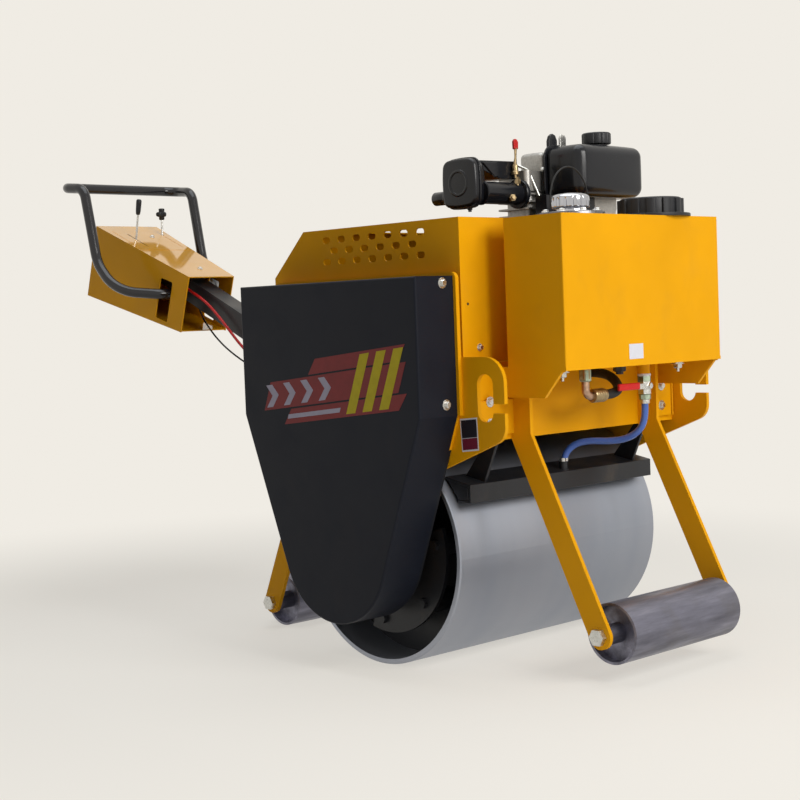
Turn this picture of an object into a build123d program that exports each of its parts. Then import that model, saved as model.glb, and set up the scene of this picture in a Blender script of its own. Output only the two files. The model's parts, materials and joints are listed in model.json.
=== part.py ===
"""Walk-behind single-drum vibratory road roller with an open diesel engine.

Millimetres, +X forward (towards the water tank), +Y left, +Z up. The origin lies on the ground,
under the middle of the machine's length. The drum's axle stands at drum_x, and the three working
planes below start there, so most places are written as a distance from the drum's axle.
"""
import os
from math import cos, radians, sin, tan

from build123d import *

os.makedirs("parts", exist_ok=True)

# Drum
DRUM_R = 265.0
DRUM_LENGTH = 700.0
DRUM_WALL = 12.0
DRUM_EDGE = 3.0
WEB_Y = 240.0
WEB_T = 10.0
EXCITER_R = 70.0
CARRIER_R = 195.0
CARRIER_T = 10.0
CARRIER_Y = 325.0
CARRIER_NECK_R = 85.0
BOLT_CIRCLE_R = 165.0
BOLT_PITCH_DEG = 52.0
LOBE_MARGIN_DEG = 11.0
LOBE_CENTRE_DEG = -44.0
BUFFER_R = 26.0
BOLT_HEAD_R = 12.0
BOLT_HEAD_T = 10.0
JOURNAL_R = 35.0
RUNNING_GAP = 0.3

# Side plates and cross members
SIDE_GAP = 8.0
PLATE_T = 10.0
PLATE_TOP = 714.5
PLATE_REAR = 328.0
HOOK_FRONT = 428.0
HOOK_TOP_R = 56.0
HOOK_LOW_R = 39.0
HOOK_LOW_Z = 539.6
HOOK_SLOPE_DEG = 21.0
SLOT_X = 373.0
SLOT_W = 46.0
SLOT_LOW_Z = 574.0
SLOT_TOP_Z = 678.0
MOUTH_LOW_Z = 594.0
MOUTH_TOP_Z = 614.0
MOUTH_R = 5.0
NECK_HALF = 170.0
HUB_PLATE_R = 130.0
BEARING_R = 72.0
BEARING_T = 20.0
BEAM_T = 8.0
BEAM_FLANGE = 24.0
BEAM_TOP = 700.0
FRONT_BEAM_X = 322.0
FRONT_BEAM_LOW = 527.0
REAR_BEAM_X = 312.0
REAR_BEAM_LOW = 500.0
DECK_Z = 632.0
DECK_T = 8.0

# Drive cover on the right side
COVER_HALF = 298.0
COVER_TOP = 891.0
COVER_KINK_Z = 588.0
COVER_LOW_Z = 288.0
COVER_LOW_R = 172.0
COVER_DEPTH = 115.0
COVER_T = 3.0
COVER_R = 5.0
BACKPLATE_LIP = 8.0
BACKPLATE_R = 14.0

# Hood
HOOD_FRONT = 302.0
HOOD_TOP = 1018.0
HOOD_BREAK_X = 215.0
HOOD_BREAK_Z = 912.0
HOOD_T = 3.0
HOOD_RIM = 25.0
VENT_LENGTH = 26.0
VENT_WIDTH = 15.0
VENT_PITCH = 52.6
VENT_ROW = 25.5
VENT_DROP = 25.0
VENT_MID_X = 25.0
VENT_COUNT = 7

# Tank and its bracket
TANK_BACK = 360.0
TANK_FRONT = 526.0
TANK_HALF = 280.0
TANK_LOW = 687.6
TANK_TOP = 1012.0
TANK_T = 4.0
TANK_EDGE = 3.0
SHELF_T = 8.0
GUSSET_T = 8.0
GUSSET_LOW = 622.0
GUSSET_TOP_X = 515.0
GUSSET_LOW_X = 464.0
CAP_X = 450.0
OIL_CAP_Y = -148.0
OIL_FLANGE_R = 74.0
OIL_FLANGE_T = 8.0
OIL_CAP_R = 40.0
OIL_CAP_T = 30.0
OIL_CAP_SCALLOP_COUNT = 14
OIL_CAP_SCALLOP_R = 5.0
WATER_CAP_Y = 139.0
WATER_FLANGE_R = 86.0
WATER_CAP_R = 73.0
WATER_CAP_T = 38.0
WATER_CAP_RIB_COUNT = 24
WATER_CAP_RIB = 5.0
FILLER_R = 55.0

# Legs, rollers and axles
LEG_Y = 222.8
LEG_T = 10.0
LEG_W = 56.0
LEG_KINK_Z = 533.0
LEG_FLANGE_LOW = 540.0
LEG_FLANGE_TOP = 616.0
LEG_FLANGE_T = 8.0
LEG_FLANGE_Y = 345.0
ROLLER_R = 67.0
ROLLER_HALF = 191.6
ROLLER_WALL = 6.0
ROLLER_RECESS = 22.0
ROLLER_WEB_T = 8.0
ROLLER_HUB_R = 22.0
ROLLER_HUB_HALF = 217.0
FRONT_AXLE_X = 555.0
FRONT_AXLE_Z = 110.0
REAR_AXLE_X = 552.0
AXLE_R = 12.0
AXLE_HEAD_R = 19.0
AXLE_HEAD_T = 14.0

# Scraper bar and sprinkler
BAR_AHEAD = 13.0
BAR_TOP_RISE = 165.0
BAR_LOW_RISE = 124.4
BAR_HALF = 325.0
BAR_T = 6.0
BAR_TUCK = 43.0
BLADE_TUCK = 23.0
BAR_BRACKET_Y = 262.0
BAR_BRACKET_T = 8.0
BAR_BRACKET_W = 40.0
PIPE_R = 10.0
PIPE_TUCK = 10.0
PIPE_RISE = 144.0
PIPE_HALF = 300.0

# Travel motor on the left side
MOTOR_FLANGE_R = 82.0
MOTOR_FLANGE_T = 14.0
MOTOR_R = 58.0
MOTOR_CAP_R = 48.0
MOTOR_CAP_T = 30.0
PORT_SIZE = 46.0
PORT_RISE = 74.0
PORT_BORE_R = 9.0

# Handle
PIVOT_X = 372.0
PIVOT_Z = 561.0
PIVOT_R = 12.0
ARM_DEG = 24.5
ARM_H = 65.0
ARM_W = 60.0
ARM_T = 4.0
ARM_LENGTH = 1160.0
EAR_GAP = 3.0
EAR_T = 10.0
EAR_R = 50.0
BRACKET_W = 130.0
BRACKET_LOW = 500.0
BRACKET_TOP = 640.0
STOP_T = 12.0
SADDLE = (60.0, 130.0)
SADDLE_HALF = 25.0
CONSOLE_X = 1060.0
CONSOLE_Z = 946.0
CONSOLE_LENGTH = 462.8
CONSOLE_SLOPE_DEG = 22.4
CONSOLE_LEAN_DEG = 17.9
CONSOLE_FRONT_H = 169.0
CONSOLE_REAR_H = 222.0
CONSOLE_FRONT_HALF = 83.0
CONSOLE_REAR_HALF = 112.0
CONSOLE_T = 3.0
GRIP_SLOT_W = 56.0
GRIP_SLOT_H = 122.0
GRIP_SLOT_DROP = 66.0
GRIP_SLOT_BACK = 101.0
LEVER_SLOT_W = 16.0
LEVER_SLOT_L = 150.0
LEVER_SLOT_BACK = 324.0
LEVER_PLATE_T = 4.0
LEVER_PLATE_W = 32.0
LEVER_PLATE_MARGIN = 12.0
ANCHOR = 16.0
LEVER_LEAN_DEG = 12.0
GRIP_R = 15.0
GRIP_REAR = 1479.0
GRIP_Z = 1238.0
GRIP_END_Y = 225.0
GRIP_ROUTE = (
    (-1405.0, 212.0, 1222.0),
    (-1330.0, 208.0, 1000.0),
    (-1262.0, 200.0, 917.0),
    (-1172.0, 104.0, 900.0),
)
GRIP_CORNERS = (40.0, 45.0, 70.0, 60.0, 45.0)
TRAVEL_LEVER_Y = -48.0
TRAVEL_LEVER_BACK = 334.0
THROTTLE_LEVER_Y = 62.0
THROTTLE_LEVER_BACK = 359.0
LEVER_ROD_R = 5.0
LEVER_RISE = 112.0
LEVER_GRIP_R = 11.0
LEVER_GRIP_L = 62.0
KNOB_R = 19.0
KNOB_T = 14.0
KNOB_RISE = 78.0
KNOB_LOBE_COUNT = 5

# Engine
CRANK_Y = 60.0
CYLINDER_X = 150.0
ENGINE_FOOT_Z = 690.0
MOUNT_R = 22.0
MOUNT_X = 75.0
MOUNT_Y = 95.0
CRANKCASE_L = 200.0
CRANKCASE_BACK = 36.0
CRANKCASE_W = 220.0
CRANKCASE_H = 215.0
CRANK_RISE = 120.0
SUMP_FLANGE = 14.0
PTO_R = 62.0
PTO_L = 34.0
SHAFT_R = 14.0
SHAFT_L = 60.0
FIN_COUNT = 11
FIN_T = 4.0
FIN_W = 150.0
FIN_L = 100.0
BARREL_W = 116.0
BARREL_L = 76.0
CYLINDER_TOP = 1092.0
HEAD_TOP = 1140.0
ROCKER_TOP = 1188.0
ROCKER_L = 84.0
ROCKER_W = 90.0
ROCKER_R = 12.0
FAN_R = 148.0
FAN_Z = 850.0
FAN_DEPTH = 40.0
FAN_EDGE = 8.0
FAN_WALL = 3.0
FAN_SLOT_COUNT = 12
FAN_SLOT_L = 56.0
FAN_SLOT_W = 12.0
FAN_SLOT_R = 98.0
SHROUD_HALF = 88.0
SHROUD_DEPTH = 34.0
PUMP_R = 52.0
PUMP_L = 110.0
PUMP_FOOT_L = 30.0
PUMP_FOOT_W = 90.0
FUEL_BACK = 204.0
FUEL_FRONT = 320.0
FUEL_Y = 161.0
FUEL_HALF = 121.0
FUEL_LOW = 1076.0
FUEL_TOP = 1182.0
FUEL_R = 22.0
FUEL_TOP_R = 20.0
FUEL_SEAM = 6.0
FUEL_SEAM_X = 214.0
FUEL_SEAM_T = 4.0
FUEL_WALL = 2.0
FUEL_CAP_X = 258.0
FUEL_CAP_R = 36.0
FUEL_CAP_T = 32.0
FUEL_CAP_FLAT_COUNT = 12
MUFFLER_X = 152.0
MUFFLER_Z = 1103.0
MUFFLER_W = 96.0
MUFFLER_H = 116.0
MUFFLER_OUT = 190.0
MUFFLER_CAN = 48.0
MUFFLER_BODY = 112.0
MUFFLER_BODY_W = 84.0
MUFFLER_BODY_H = 56.0
MUFFLER_CORNER = 18.0
MUFFLER_EDGE = 6.0
MUFFLER_RIM = 4.0
MUFFLER_RIM_W = 6.0
MUFFLER_WALL = 3.0
EMBOSS_R = 30.0
EMBOSS_W = 5.0
EMBOSS_T = 3.0
TAIL_R = 16.0
TAIL_BORE_R = 13.0
TAIL_L = 42.0
TAIL_OUT = 165.0
TAIL_Z = 1080.0
EXHAUST_R = 28.0
EXHAUST_Z = 1096.0
CLEANER_X = 126.0
CLEANER_Y = 244.0
CLEANER_R = 60.0
CLEANER_LOW = 1000.0
CLEANER_TOP = 1130.0
CLEANER_NECK_R = 24.0
CLEANER_LID = 5.0
CLEANER_WALL = 3.0
INJECTOR_R = 3.0
INJECTOR_ROUTE = (
    (218.0, 2.0, 1116.0),
    (222.0, 0.0, 1080.0),
    (219.0, -5.0, 1014.0),
    (216.0, -3.0, 952.0),
)

# Fittings under the tank
ELBOW_X = 443.0
ELBOW_Y = -118.0
ELBOW_R = 8.0
ELBOW_NUT_R = 14.0
ELBOW_NUT_H = 26.0
ELBOW_Z = 615.0
ELBOW_BEND_R = 16.0
FERRULE_R = 14.0
FERRULE_Y = -97.0
FERRULE_L = 43.0
HOSE_R = 11.0
VALVE_X = 443.0
VALVE_Y = 94.0
VALVE_R = 11.0
VALVE_NUT_R = 16.0
VALVE_NUT_H = 18.0
VALVE_BODY_Z = 626.0
VALVE_LOW = 586.0
TAP_LEVER_L = 90.0
TAP_LEVER_W = 17.0
TAP_LEVER_T = 3.0
TAP_STEM_R = 5.0
TAP_STEM_L = 20.0
WATER_HOSE_R = 8.0

# Cords: points of each route, given by their distance forward of the drum's axle
OIL_HOSE_ROUTE = (
    (443.0, -54.0, 615.0),
    (443.0, -22.0, 615.0),
    (437.0, 8.0, 624.0),
    (410.0, 30.0, 643.0),
    (366.0, 44.0, 660.0),
    (322.0, 44.0, 660.0),
)
WATER_HOSE_ROUTE = (
    (443.0, 94.0, 586.0),
    (443.0, 94.0, 552.0),
    (430.0, 88.0, 522.0),
    (398.0, 78.0, 503.0),
    (358.0, 62.0, 498.0),
    (316.0, 44.0, 500.0),
    (282.0, 26.0, 492.0),
    (261.0, 12.0, 464.0),
    (261.0, 12.0, 430.0),
)
RED_CABLE_R = 4.0
RED_CABLE_ROUTE = (
    (-1180.0, -50.0, 952.0),
    (-1108.0, -52.0, 910.0),
    (-1022.0, -52.0, 872.0),
    (-943.0, -50.0, 806.0),
    (-870.0, -46.0, 736.0),
    (-790.0, -36.0, 678.0),
    (-716.0, -20.0, 640.0),
    (-660.0, -6.0, 612.0),
)
RED_CABLE_END = 250.0
THIN_CABLE_R = 2.5
THIN_CABLE_ROUTE = (
    (-1222.0, 54.0, 925.0),
    (-1198.0, 46.0, 866.0),
    (-1150.0, 30.0, 822.0),
    (-1096.0, 10.0, 794.0),
    (-1030.0, -14.0, 764.0),
    (-962.0, -28.0, 731.0),
    (-890.0, -32.0, 698.0),
    (-818.0, -26.0, 666.0),
    (-750.0, -12.0, 642.0),
)
THIN_CABLE_END = 340.0
CABLE_ROOT = 30.0

# Places worked out from the sizes above
slope = radians(CONSOLE_SLOPE_DEG)
lean = radians(CONSOLE_LEAN_DEG)
down = Vector(-sin(lean), -cos(lean))
front_top = Vector(-CONSOLE_X, CONSOLE_Z)
rear_top = front_top + Vector(-cos(slope), sin(slope)) * CONSOLE_LENGTH
rear_low = rear_top + down * CONSOLE_REAR_H
front_reach = FRONT_AXLE_X + ROLLER_R
rear_reach = -rear_low.X
drum_x = (rear_reach - front_reach) / 2
plate_in = DRUM_LENGTH / 2 + SIDE_GAP
plate_out = plate_in + PLATE_T
cover_in = plate_out + PLATE_T
cover_out = cover_in + COVER_DEPTH
arm_angle = radians(ARM_DEG)
bar_front = DRUM_R + BAR_AHEAD
bar_back = DRUM_R - BAR_TUCK
bar_top = DRUM_R + BAR_TOP_RISE
bar_low = DRUM_R + BAR_LOW_RISE
blade_back = DRUM_R - BLADE_TUCK
pipe_x = DRUM_R - PIPE_TUCK
pipe_z = DRUM_R + PIPE_RISE

side = Plane((drum_x, 0, 0), x_dir=(1, 0, 0), z_dir=(0, -1, 0))
plan = Plane((drum_x, 0, 0))
front = Plane((drum_x, 0, 0), x_dir=(0, 1, 0), z_dir=(1, 0, 0))


def at(x, y, z):
    """A point given by its distance forward of the drum's axle."""
    return Vector(drum_x + x, y, z)


# Drum: the shell, and inside it two webs with the closed exciter housing between them
with BuildPart() as drum_shell:
    with BuildSketch(side):
        with Locations((0, DRUM_R)):
            Circle(DRUM_R)
            Circle(DRUM_R - DRUM_WALL, mode=Mode.SUBTRACT)
    extrude(amount=DRUM_LENGTH / 2, both=True)
    rims = edges().filter_by(GeomType.CIRCLE).filter_by(lambda e: e.radius > DRUM_R - DRUM_WALL / 2)
    chamfer(rims, DRUM_EDGE)

with BuildPart() as drum_core:
    for sign in (-1, 1):
        with BuildSketch(side.offset(sign * WEB_Y)):
            with Locations((0, DRUM_R)):
                Circle(DRUM_R - DRUM_WALL)
        extrude(amount=-sign * WEB_T)
    with BuildSketch(side):
        with Locations((0, DRUM_R)):
            Circle(EXCITER_R)
    extrude(amount=WEB_Y, both=True)

# Carrier at each end of the drum: two lobes on rubber buffers, and the journal
lobe_half = BOLT_PITCH_DEG + LOBE_MARGIN_DEG
bolt_angles = [
    centre + step * BOLT_PITCH_DEG
    for centre in (LOBE_CENTRE_DEG, LOBE_CENTRE_DEG + 180)
    for step in (-1, 0, 1)
]
bolt_places = [
    (BOLT_CIRCLE_R * cos(radians(a)), DRUM_R + BOLT_CIRCLE_R * sin(radians(a))) for a in bolt_angles
]
with BuildPart() as drum_carriers:
    with BuildSketch(side.offset(CARRIER_Y - CARRIER_T)):
        for centre in (LOBE_CENTRE_DEG, LOBE_CENTRE_DEG + 180):
            with BuildLine():
                lobe = CenterArc((0, DRUM_R), CARRIER_R, centre - lobe_half, 2 * lobe_half)
                Polyline(lobe @ 1, (0, DRUM_R), lobe @ 0)
            make_face()
        with Locations((0, DRUM_R)):
            Circle(CARRIER_NECK_R)
    extrude(amount=CARRIER_T)
    with BuildSketch(side.offset(WEB_Y)):
        with Locations(*bolt_places):
            Circle(BUFFER_R)
        with Locations((0, DRUM_R)):
            Circle(JOURNAL_R)
    extrude(amount=CARRIER_Y - CARRIER_T - WEB_Y)
    with BuildSketch(side.offset(CARRIER_Y)):
        with Locations(*bolt_places):
            RegularPolygon(BOLT_HEAD_R, 6)
    extrude(amount=BOLT_HEAD_T)
    with BuildSketch(side.offset(CARRIER_Y)):
        with Locations((0, DRUM_R)):
            Circle(JOURNAL_R)
    extrude(amount=plate_in - CARRIER_Y - SIDE_GAP / 2)
    mirror(about=Plane.XZ)

# Flange bearings inside the side plates
with BuildPart() as drum_bearings:
    for sign in (-1, 1):
        with BuildSketch(side.offset(sign * plate_in)):
            with Locations((0, DRUM_R)):
                Circle(BEARING_R)
                Circle(JOURNAL_R + RUNNING_GAP, mode=Mode.SUBTRACT)
        extrude(amount=-sign * BEARING_T)

# Side plates with their C-hooks
slot_mid = (SLOT_LOW_Z + SLOT_TOP_Z) / 2
neck_z = HOOK_LOW_Z - (HOOK_FRONT - NECK_HALF) * tan(radians(HOOK_SLOPE_DEG))
plate_low = neck_z + (PLATE_REAR - NECK_HALF) * tan(radians(HOOK_SLOPE_DEG))
with BuildPart() as side_plates:
    with BuildSketch(side.offset(plate_in)):
        with BuildLine():
            FilletPolyline(
                (-PLATE_REAR, PLATE_TOP),
                (HOOK_FRONT, PLATE_TOP),
                (HOOK_FRONT, HOOK_LOW_Z),
                (NECK_HALF, neck_z),
                (HUB_PLATE_R, DRUM_R),
                (-HUB_PLATE_R, DRUM_R),
                (-NECK_HALF, neck_z),
                (-PLATE_REAR, plate_low),
                radius=(BACKPLATE_R, HOOK_TOP_R, HOOK_LOW_R, HOOK_LOW_R, 0, 0, HOOK_LOW_R, BACKPLATE_R),
                close=True,
            )
        make_face()
        with Locations((0, DRUM_R)):
            Circle(HUB_PLATE_R)
        with Locations((SLOT_X, slot_mid)):
            SlotOverall(SLOT_TOP_Z - SLOT_LOW_Z, SLOT_W, rotation=90, mode=Mode.SUBTRACT)
        with Locations(((SLOT_X + HOOK_FRONT + MOUTH_R) / 2, (MOUTH_LOW_Z + MOUTH_TOP_Z) / 2)):
            Rectangle(HOOK_FRONT + MOUTH_R - SLOT_X, MOUTH_TOP_Z - MOUTH_LOW_Z, mode=Mode.SUBTRACT)
    extrude(amount=PLATE_T)
    mirror(about=Plane.XZ)

# Drive cover and the plate that it closes against
with BuildPart() as cover_backplate:
    with BuildSketch(side.offset(plate_out)) as low_part:
        with Locations((0, COVER_KINK_Z)):
            Rectangle(2 * COVER_HALF - 2 * COVER_T, COVER_T)
        with Locations((0, COVER_LOW_Z)):
            Circle(COVER_LOW_R - COVER_T)
        make_hull()
    extrude(amount=PLATE_T)
    with BuildSketch(side.offset(plate_out)):
        with Locations((0, (COVER_TOP + BACKPLATE_LIP + COVER_KINK_Z) / 2)):
            Rectangle(2 * (COVER_HALF + BACKPLATE_LIP), COVER_TOP + BACKPLATE_LIP - COVER_KINK_Z)
        fillet(vertices().group_by(Axis.Y)[-1], BACKPLATE_R)
    extrude(amount=PLATE_T)

with BuildPart() as drive_cover:
    with BuildSketch(side.offset(cover_in)):
        with Locations((0, (COVER_TOP + COVER_KINK_Z) / 2)):
            Rectangle(2 * COVER_HALF, COVER_TOP - COVER_KINK_Z)
        with Locations((0, COVER_LOW_Z)):
            Circle(COVER_LOW_R)
        make_hull()
    extrude(amount=COVER_DEPTH)
    fillet(faces().sort_by(Axis.Y)[0].edges(), COVER_R)
    offset(amount=-COVER_T, openings=faces().sort_by(Axis.Y)[-1])

# Cross members
with BuildPart() as front_beam:
    with BuildSketch(side):
        with Locations((FRONT_BEAM_X, FRONT_BEAM_LOW)):
            Rectangle(BEAM_FLANGE + BEAM_T, BEAM_TOP - FRONT_BEAM_LOW, align=(Align.MAX, Align.MIN))
        with Locations((FRONT_BEAM_X - BEAM_T, FRONT_BEAM_LOW + BEAM_T)):
            Rectangle(
                BEAM_FLANGE,
                BEAM_TOP - FRONT_BEAM_LOW - 2 * BEAM_T,
                align=(Align.MAX, Align.MIN),
                mode=Mode.SUBTRACT,
            )
    extrude(amount=plate_in, both=True)

with BuildPart() as rear_beam:
    with BuildSketch(side):
        with Locations((-REAR_BEAM_X, REAR_BEAM_LOW)):
            Rectangle(BEAM_T, BEAM_TOP - REAR_BEAM_LOW, align=(Align.MIN, Align.MIN))
            Rectangle(BEAM_FLANGE + BEAM_T, BEAM_T, align=(Align.MIN, Align.MIN))
        with Locations((-PLATE_REAR, BEAM_TOP)):
            Rectangle(PLATE_REAR - REAR_BEAM_X + BEAM_T, BEAM_T, align=(Align.MIN, Align.MAX))
    extrude(amount=plate_in, both=True)

with BuildPart() as engine_deck:
    with BuildSketch(plan.offset(DECK_Z)):
        with Locations(((FRONT_BEAM_X - REAR_BEAM_X) / 2, 0)):
            Rectangle(FRONT_BEAM_X + REAR_BEAM_X - 2 * BEAM_T, 2 * plate_in)
    extrude(amount=DECK_T)

# Hood: bent sheet, open at the top, vents through both sides
with BuildPart() as hood:
    with BuildSketch(side):
        with BuildLine():
            Polyline(
                (HOOD_FRONT, BEAM_TOP),
                (HOOD_FRONT, HOOD_TOP),
                (-HOOD_BREAK_X, HOOD_TOP),
                (-PLATE_REAR, HOOD_BREAK_Z),
                (-PLATE_REAR, BEAM_TOP),
                close=True,
            )
        make_face()
    extrude(amount=plate_in, both=True)
    offset(amount=-HOOD_T, openings=[faces().sort_by(Axis.Z)[0], faces().sort_by(Axis.Z)[-1]])
    with BuildSketch(plan.offset(HOOD_TOP - HOOD_T)):
        with Locations(((HOOD_FRONT - HOOD_BREAK_X) / 2, 0)):
            Rectangle(HOOD_FRONT + HOOD_BREAK_X, 2 * plate_in)
            Rectangle(
                HOOD_FRONT + HOOD_BREAK_X - 2 * HOOD_RIM, 2 * plate_in - 2 * HOOD_RIM, mode=Mode.SUBTRACT
            )
    extrude(amount=HOOD_T)
    with BuildSketch(side):
        for row in range(3):
            count = VENT_COUNT - row % 2
            with Locations((VENT_MID_X, HOOD_TOP - VENT_DROP - row * VENT_ROW)):
                with GridLocations(VENT_PITCH, VENT_PITCH, count, 1):
                    SlotOverall(VENT_LENGTH, VENT_WIDTH)
    extrude(amount=plate_in, both=True, mode=Mode.SUBTRACT)

# Tank bracket: shelf and two gussets
with BuildPart() as tank_bracket:
    with BuildSketch(plan.offset(TANK_LOW)):
        with Locations(((TANK_FRONT + FRONT_BEAM_X) / 2, 0)):
            Rectangle(TANK_FRONT - FRONT_BEAM_X, 2 * TANK_HALF)
    extrude(amount=-SHELF_T)
    for sign in (-1, 1):
        with BuildSketch(side.offset(sign * TANK_HALF)):
            with BuildLine():
                Polyline(
                    (FRONT_BEAM_X, TANK_LOW - SHELF_T),
                    (GUSSET_TOP_X, TANK_LOW - SHELF_T),
                    (GUSSET_LOW_X, GUSSET_LOW),
                    (FRONT_BEAM_X, GUSSET_LOW),
                    close=True,
                )
            make_face()
        extrude(amount=-sign * GUSSET_T)

# Tank: closed box with one filler neck cut in its top
with BuildPart() as tank:
    with BuildSketch(plan.offset(TANK_LOW)):
        with Locations(((TANK_BACK + TANK_FRONT) / 2, 0)):
            Rectangle(TANK_FRONT - TANK_BACK, 2 * TANK_HALF)
    extrude(amount=TANK_TOP - TANK_LOW)
    fillet(edges().filter_by(Axis.Z), TANK_EDGE)
    with BuildSketch(plan.offset(TANK_LOW + TANK_T)):
        with Locations(((TANK_BACK + TANK_FRONT) / 2, 0)):
            Rectangle(TANK_FRONT - TANK_BACK - 2 * TANK_T, 2 * TANK_HALF - 2 * TANK_T)
    extrude(amount=TANK_TOP - TANK_LOW - 2 * TANK_T, mode=Mode.SUBTRACT)
    with BuildSketch(plan.offset(TANK_TOP)):
        with Locations((CAP_X, WATER_CAP_Y)):
            Circle(FILLER_R)
    extrude(amount=-TANK_T, mode=Mode.SUBTRACT)

with BuildPart() as breather_cap:
    with BuildSketch(plan.offset(TANK_TOP)):
        with Locations((CAP_X, OIL_CAP_Y)):
            Circle(OIL_FLANGE_R)
    extrude(amount=OIL_FLANGE_T)
    with BuildSketch(plan.offset(TANK_TOP + OIL_FLANGE_T)):
        with Locations((CAP_X, OIL_CAP_Y)):
            Circle(OIL_CAP_R - OIL_CAP_SCALLOP_R)
    extrude(amount=OIL_CAP_T / 2)
    with BuildSketch(plan.offset(TANK_TOP + OIL_FLANGE_T + OIL_CAP_T / 2)):
        with Locations((CAP_X, OIL_CAP_Y)):
            Circle(OIL_CAP_R)
    extrude(amount=OIL_CAP_T)
    chamfer(faces().sort_by(Axis.Z)[-1].edges(), OIL_CAP_SCALLOP_R)
    with BuildSketch(plan.offset(TANK_TOP + OIL_FLANGE_T + OIL_CAP_T / 2)):
        with Locations((CAP_X, OIL_CAP_Y)):
            with PolarLocations(OIL_CAP_R + OIL_CAP_SCALLOP_R / 2, OIL_CAP_SCALLOP_COUNT):
                Circle(OIL_CAP_SCALLOP_R)
    extrude(amount=OIL_CAP_T, mode=Mode.SUBTRACT)

with BuildPart() as water_cap:
    with BuildSketch(plan.offset(TANK_TOP)):
        with Locations((CAP_X, WATER_CAP_Y)):
            Circle(WATER_FLANGE_R)
    extrude(amount=OIL_FLANGE_T)
    with BuildSketch(plan.offset(TANK_TOP + OIL_FLANGE_T)):
        with Locations((CAP_X, WATER_CAP_Y)):
            Circle(WATER_CAP_R - WATER_CAP_RIB / 2)
            with PolarLocations(WATER_CAP_R - WATER_CAP_RIB, WATER_CAP_RIB_COUNT):
                Rectangle(2 * WATER_CAP_RIB, 1.5 * WATER_CAP_RIB)
    extrude(amount=WATER_CAP_T)

# Legs: a plate cranked outwards below the beam, with a bolting flange against the beam
leg_top_front = TANK_LOW - SHELF_T
leg_top_rear = BEAM_TOP - BEAM_T


def leg_pair(beam_x, axle_x, axle_z, top_z, forward):
    """Both legs of one end. forward is 1 at the front of the machine and -1 at the rear."""
    mid_x = beam_x + LEG_W / 2
    with BuildPart() as legs:
        for sign in (-1, 1):
            with BuildSketch(side.offset(sign * LEG_Y)):
                with Locations((forward * mid_x, (top_z + LEG_KINK_Z) / 2)):
                    Rectangle(LEG_W, top_z - LEG_KINK_Z)
            extrude(amount=sign * LEG_T)
            with BuildSketch(side.offset(sign * LEG_Y)):
                with Locations((forward * mid_x, LEG_KINK_Z), (forward * axle_x, axle_z)):
                    Circle(LEG_W / 2)
                make_hull()
                with Locations((forward * axle_x, axle_z)):
                    Circle(AXLE_R, mode=Mode.SUBTRACT)
            extrude(amount=sign * LEG_T)
            with BuildSketch(front.offset(forward * beam_x)):
                with Locations((-sign * (LEG_FLANGE_Y + LEG_Y) / 2, (LEG_FLANGE_LOW + LEG_FLANGE_TOP) / 2)):
                    Rectangle(LEG_FLANGE_Y - LEG_Y, LEG_FLANGE_TOP - LEG_FLANGE_LOW)
            extrude(amount=forward * LEG_FLANGE_T)
    return legs


front_legs = leg_pair(FRONT_BEAM_X, FRONT_AXLE_X, FRONT_AXLE_Z, leg_top_front, 1)
rear_legs = leg_pair(REAR_BEAM_X, REAR_AXLE_X, ROLLER_R, leg_top_rear, -1)
axle_places = ((FRONT_AXLE_X, FRONT_AXLE_Z), (-REAR_AXLE_X, ROLLER_R))
leg_out = LEG_Y + LEG_T

with BuildPart() as roller_axles:
    for place in axle_places:
        with BuildSketch(side):
            with Locations(place):
                Circle(AXLE_R)
        extrude(amount=leg_out, both=True)
        for sign in (-1, 1):
            with BuildSketch(side.offset(sign * leg_out)):
                with Locations(place):
                    RegularPolygon(AXLE_HEAD_R, 6)
            extrude(amount=sign * AXLE_HEAD_T)


def support_roller(place):
    """A pipe with a disc set back from each end, turning on a tube around the axle."""
    with BuildPart() as roller:
        with BuildSketch(side):
            with Locations(place):
                Circle(ROLLER_R)
                Circle(ROLLER_R - ROLLER_WALL, mode=Mode.SUBTRACT)
        extrude(amount=ROLLER_HALF, both=True)
        for sign in (-1, 1):
            with BuildSketch(side.offset(sign * (ROLLER_HALF - ROLLER_RECESS))):
                with Locations(place):
                    Circle(ROLLER_R - ROLLER_WALL)
            extrude(amount=-sign * ROLLER_WEB_T)
        with BuildSketch(side):
            with Locations(place):
                Circle(ROLLER_HUB_R)
        extrude(amount=ROLLER_HUB_HALF, both=True)
        with BuildSketch(side):
            with Locations(place):
                Circle(AXLE_R + RUNNING_GAP)
        extrude(amount=ROLLER_HUB_HALF, both=True, mode=Mode.SUBTRACT)
    return roller


front_roller = support_roller(axle_places[0])
rear_roller = support_roller(axle_places[1])

# Scraper bar: bent channel with its blade just off the drum, hung from the front beam
with BuildPart() as scraper_bar:
    with BuildSketch(side):
        with Locations((bar_front, bar_top)):
            Rectangle(bar_front - bar_back, BAR_T, align=(Align.MAX, Align.MAX))
            Rectangle(BAR_T, bar_top - bar_low, align=(Align.MAX, Align.MAX))
        with Locations((bar_front, bar_low)):
            Rectangle(bar_front - blade_back, BAR_T, align=(Align.MAX, Align.MIN))
    extrude(amount=BAR_HALF, both=True)
    for sign in (-1, 1):
        with BuildSketch(side.offset(sign * BAR_BRACKET_Y)):
            with BuildLine():
                Polyline(
                    (bar_front, bar_top),
                    (FRONT_BEAM_X - BEAM_T, FRONT_BEAM_LOW),
                    (FRONT_BEAM_X - BEAM_T - BAR_BRACKET_W / 2, FRONT_BEAM_LOW),
                    (bar_front - BAR_BRACKET_W, bar_top),
                    close=True,
                )
            make_face()
        extrude(amount=sign * BAR_BRACKET_T)

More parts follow.
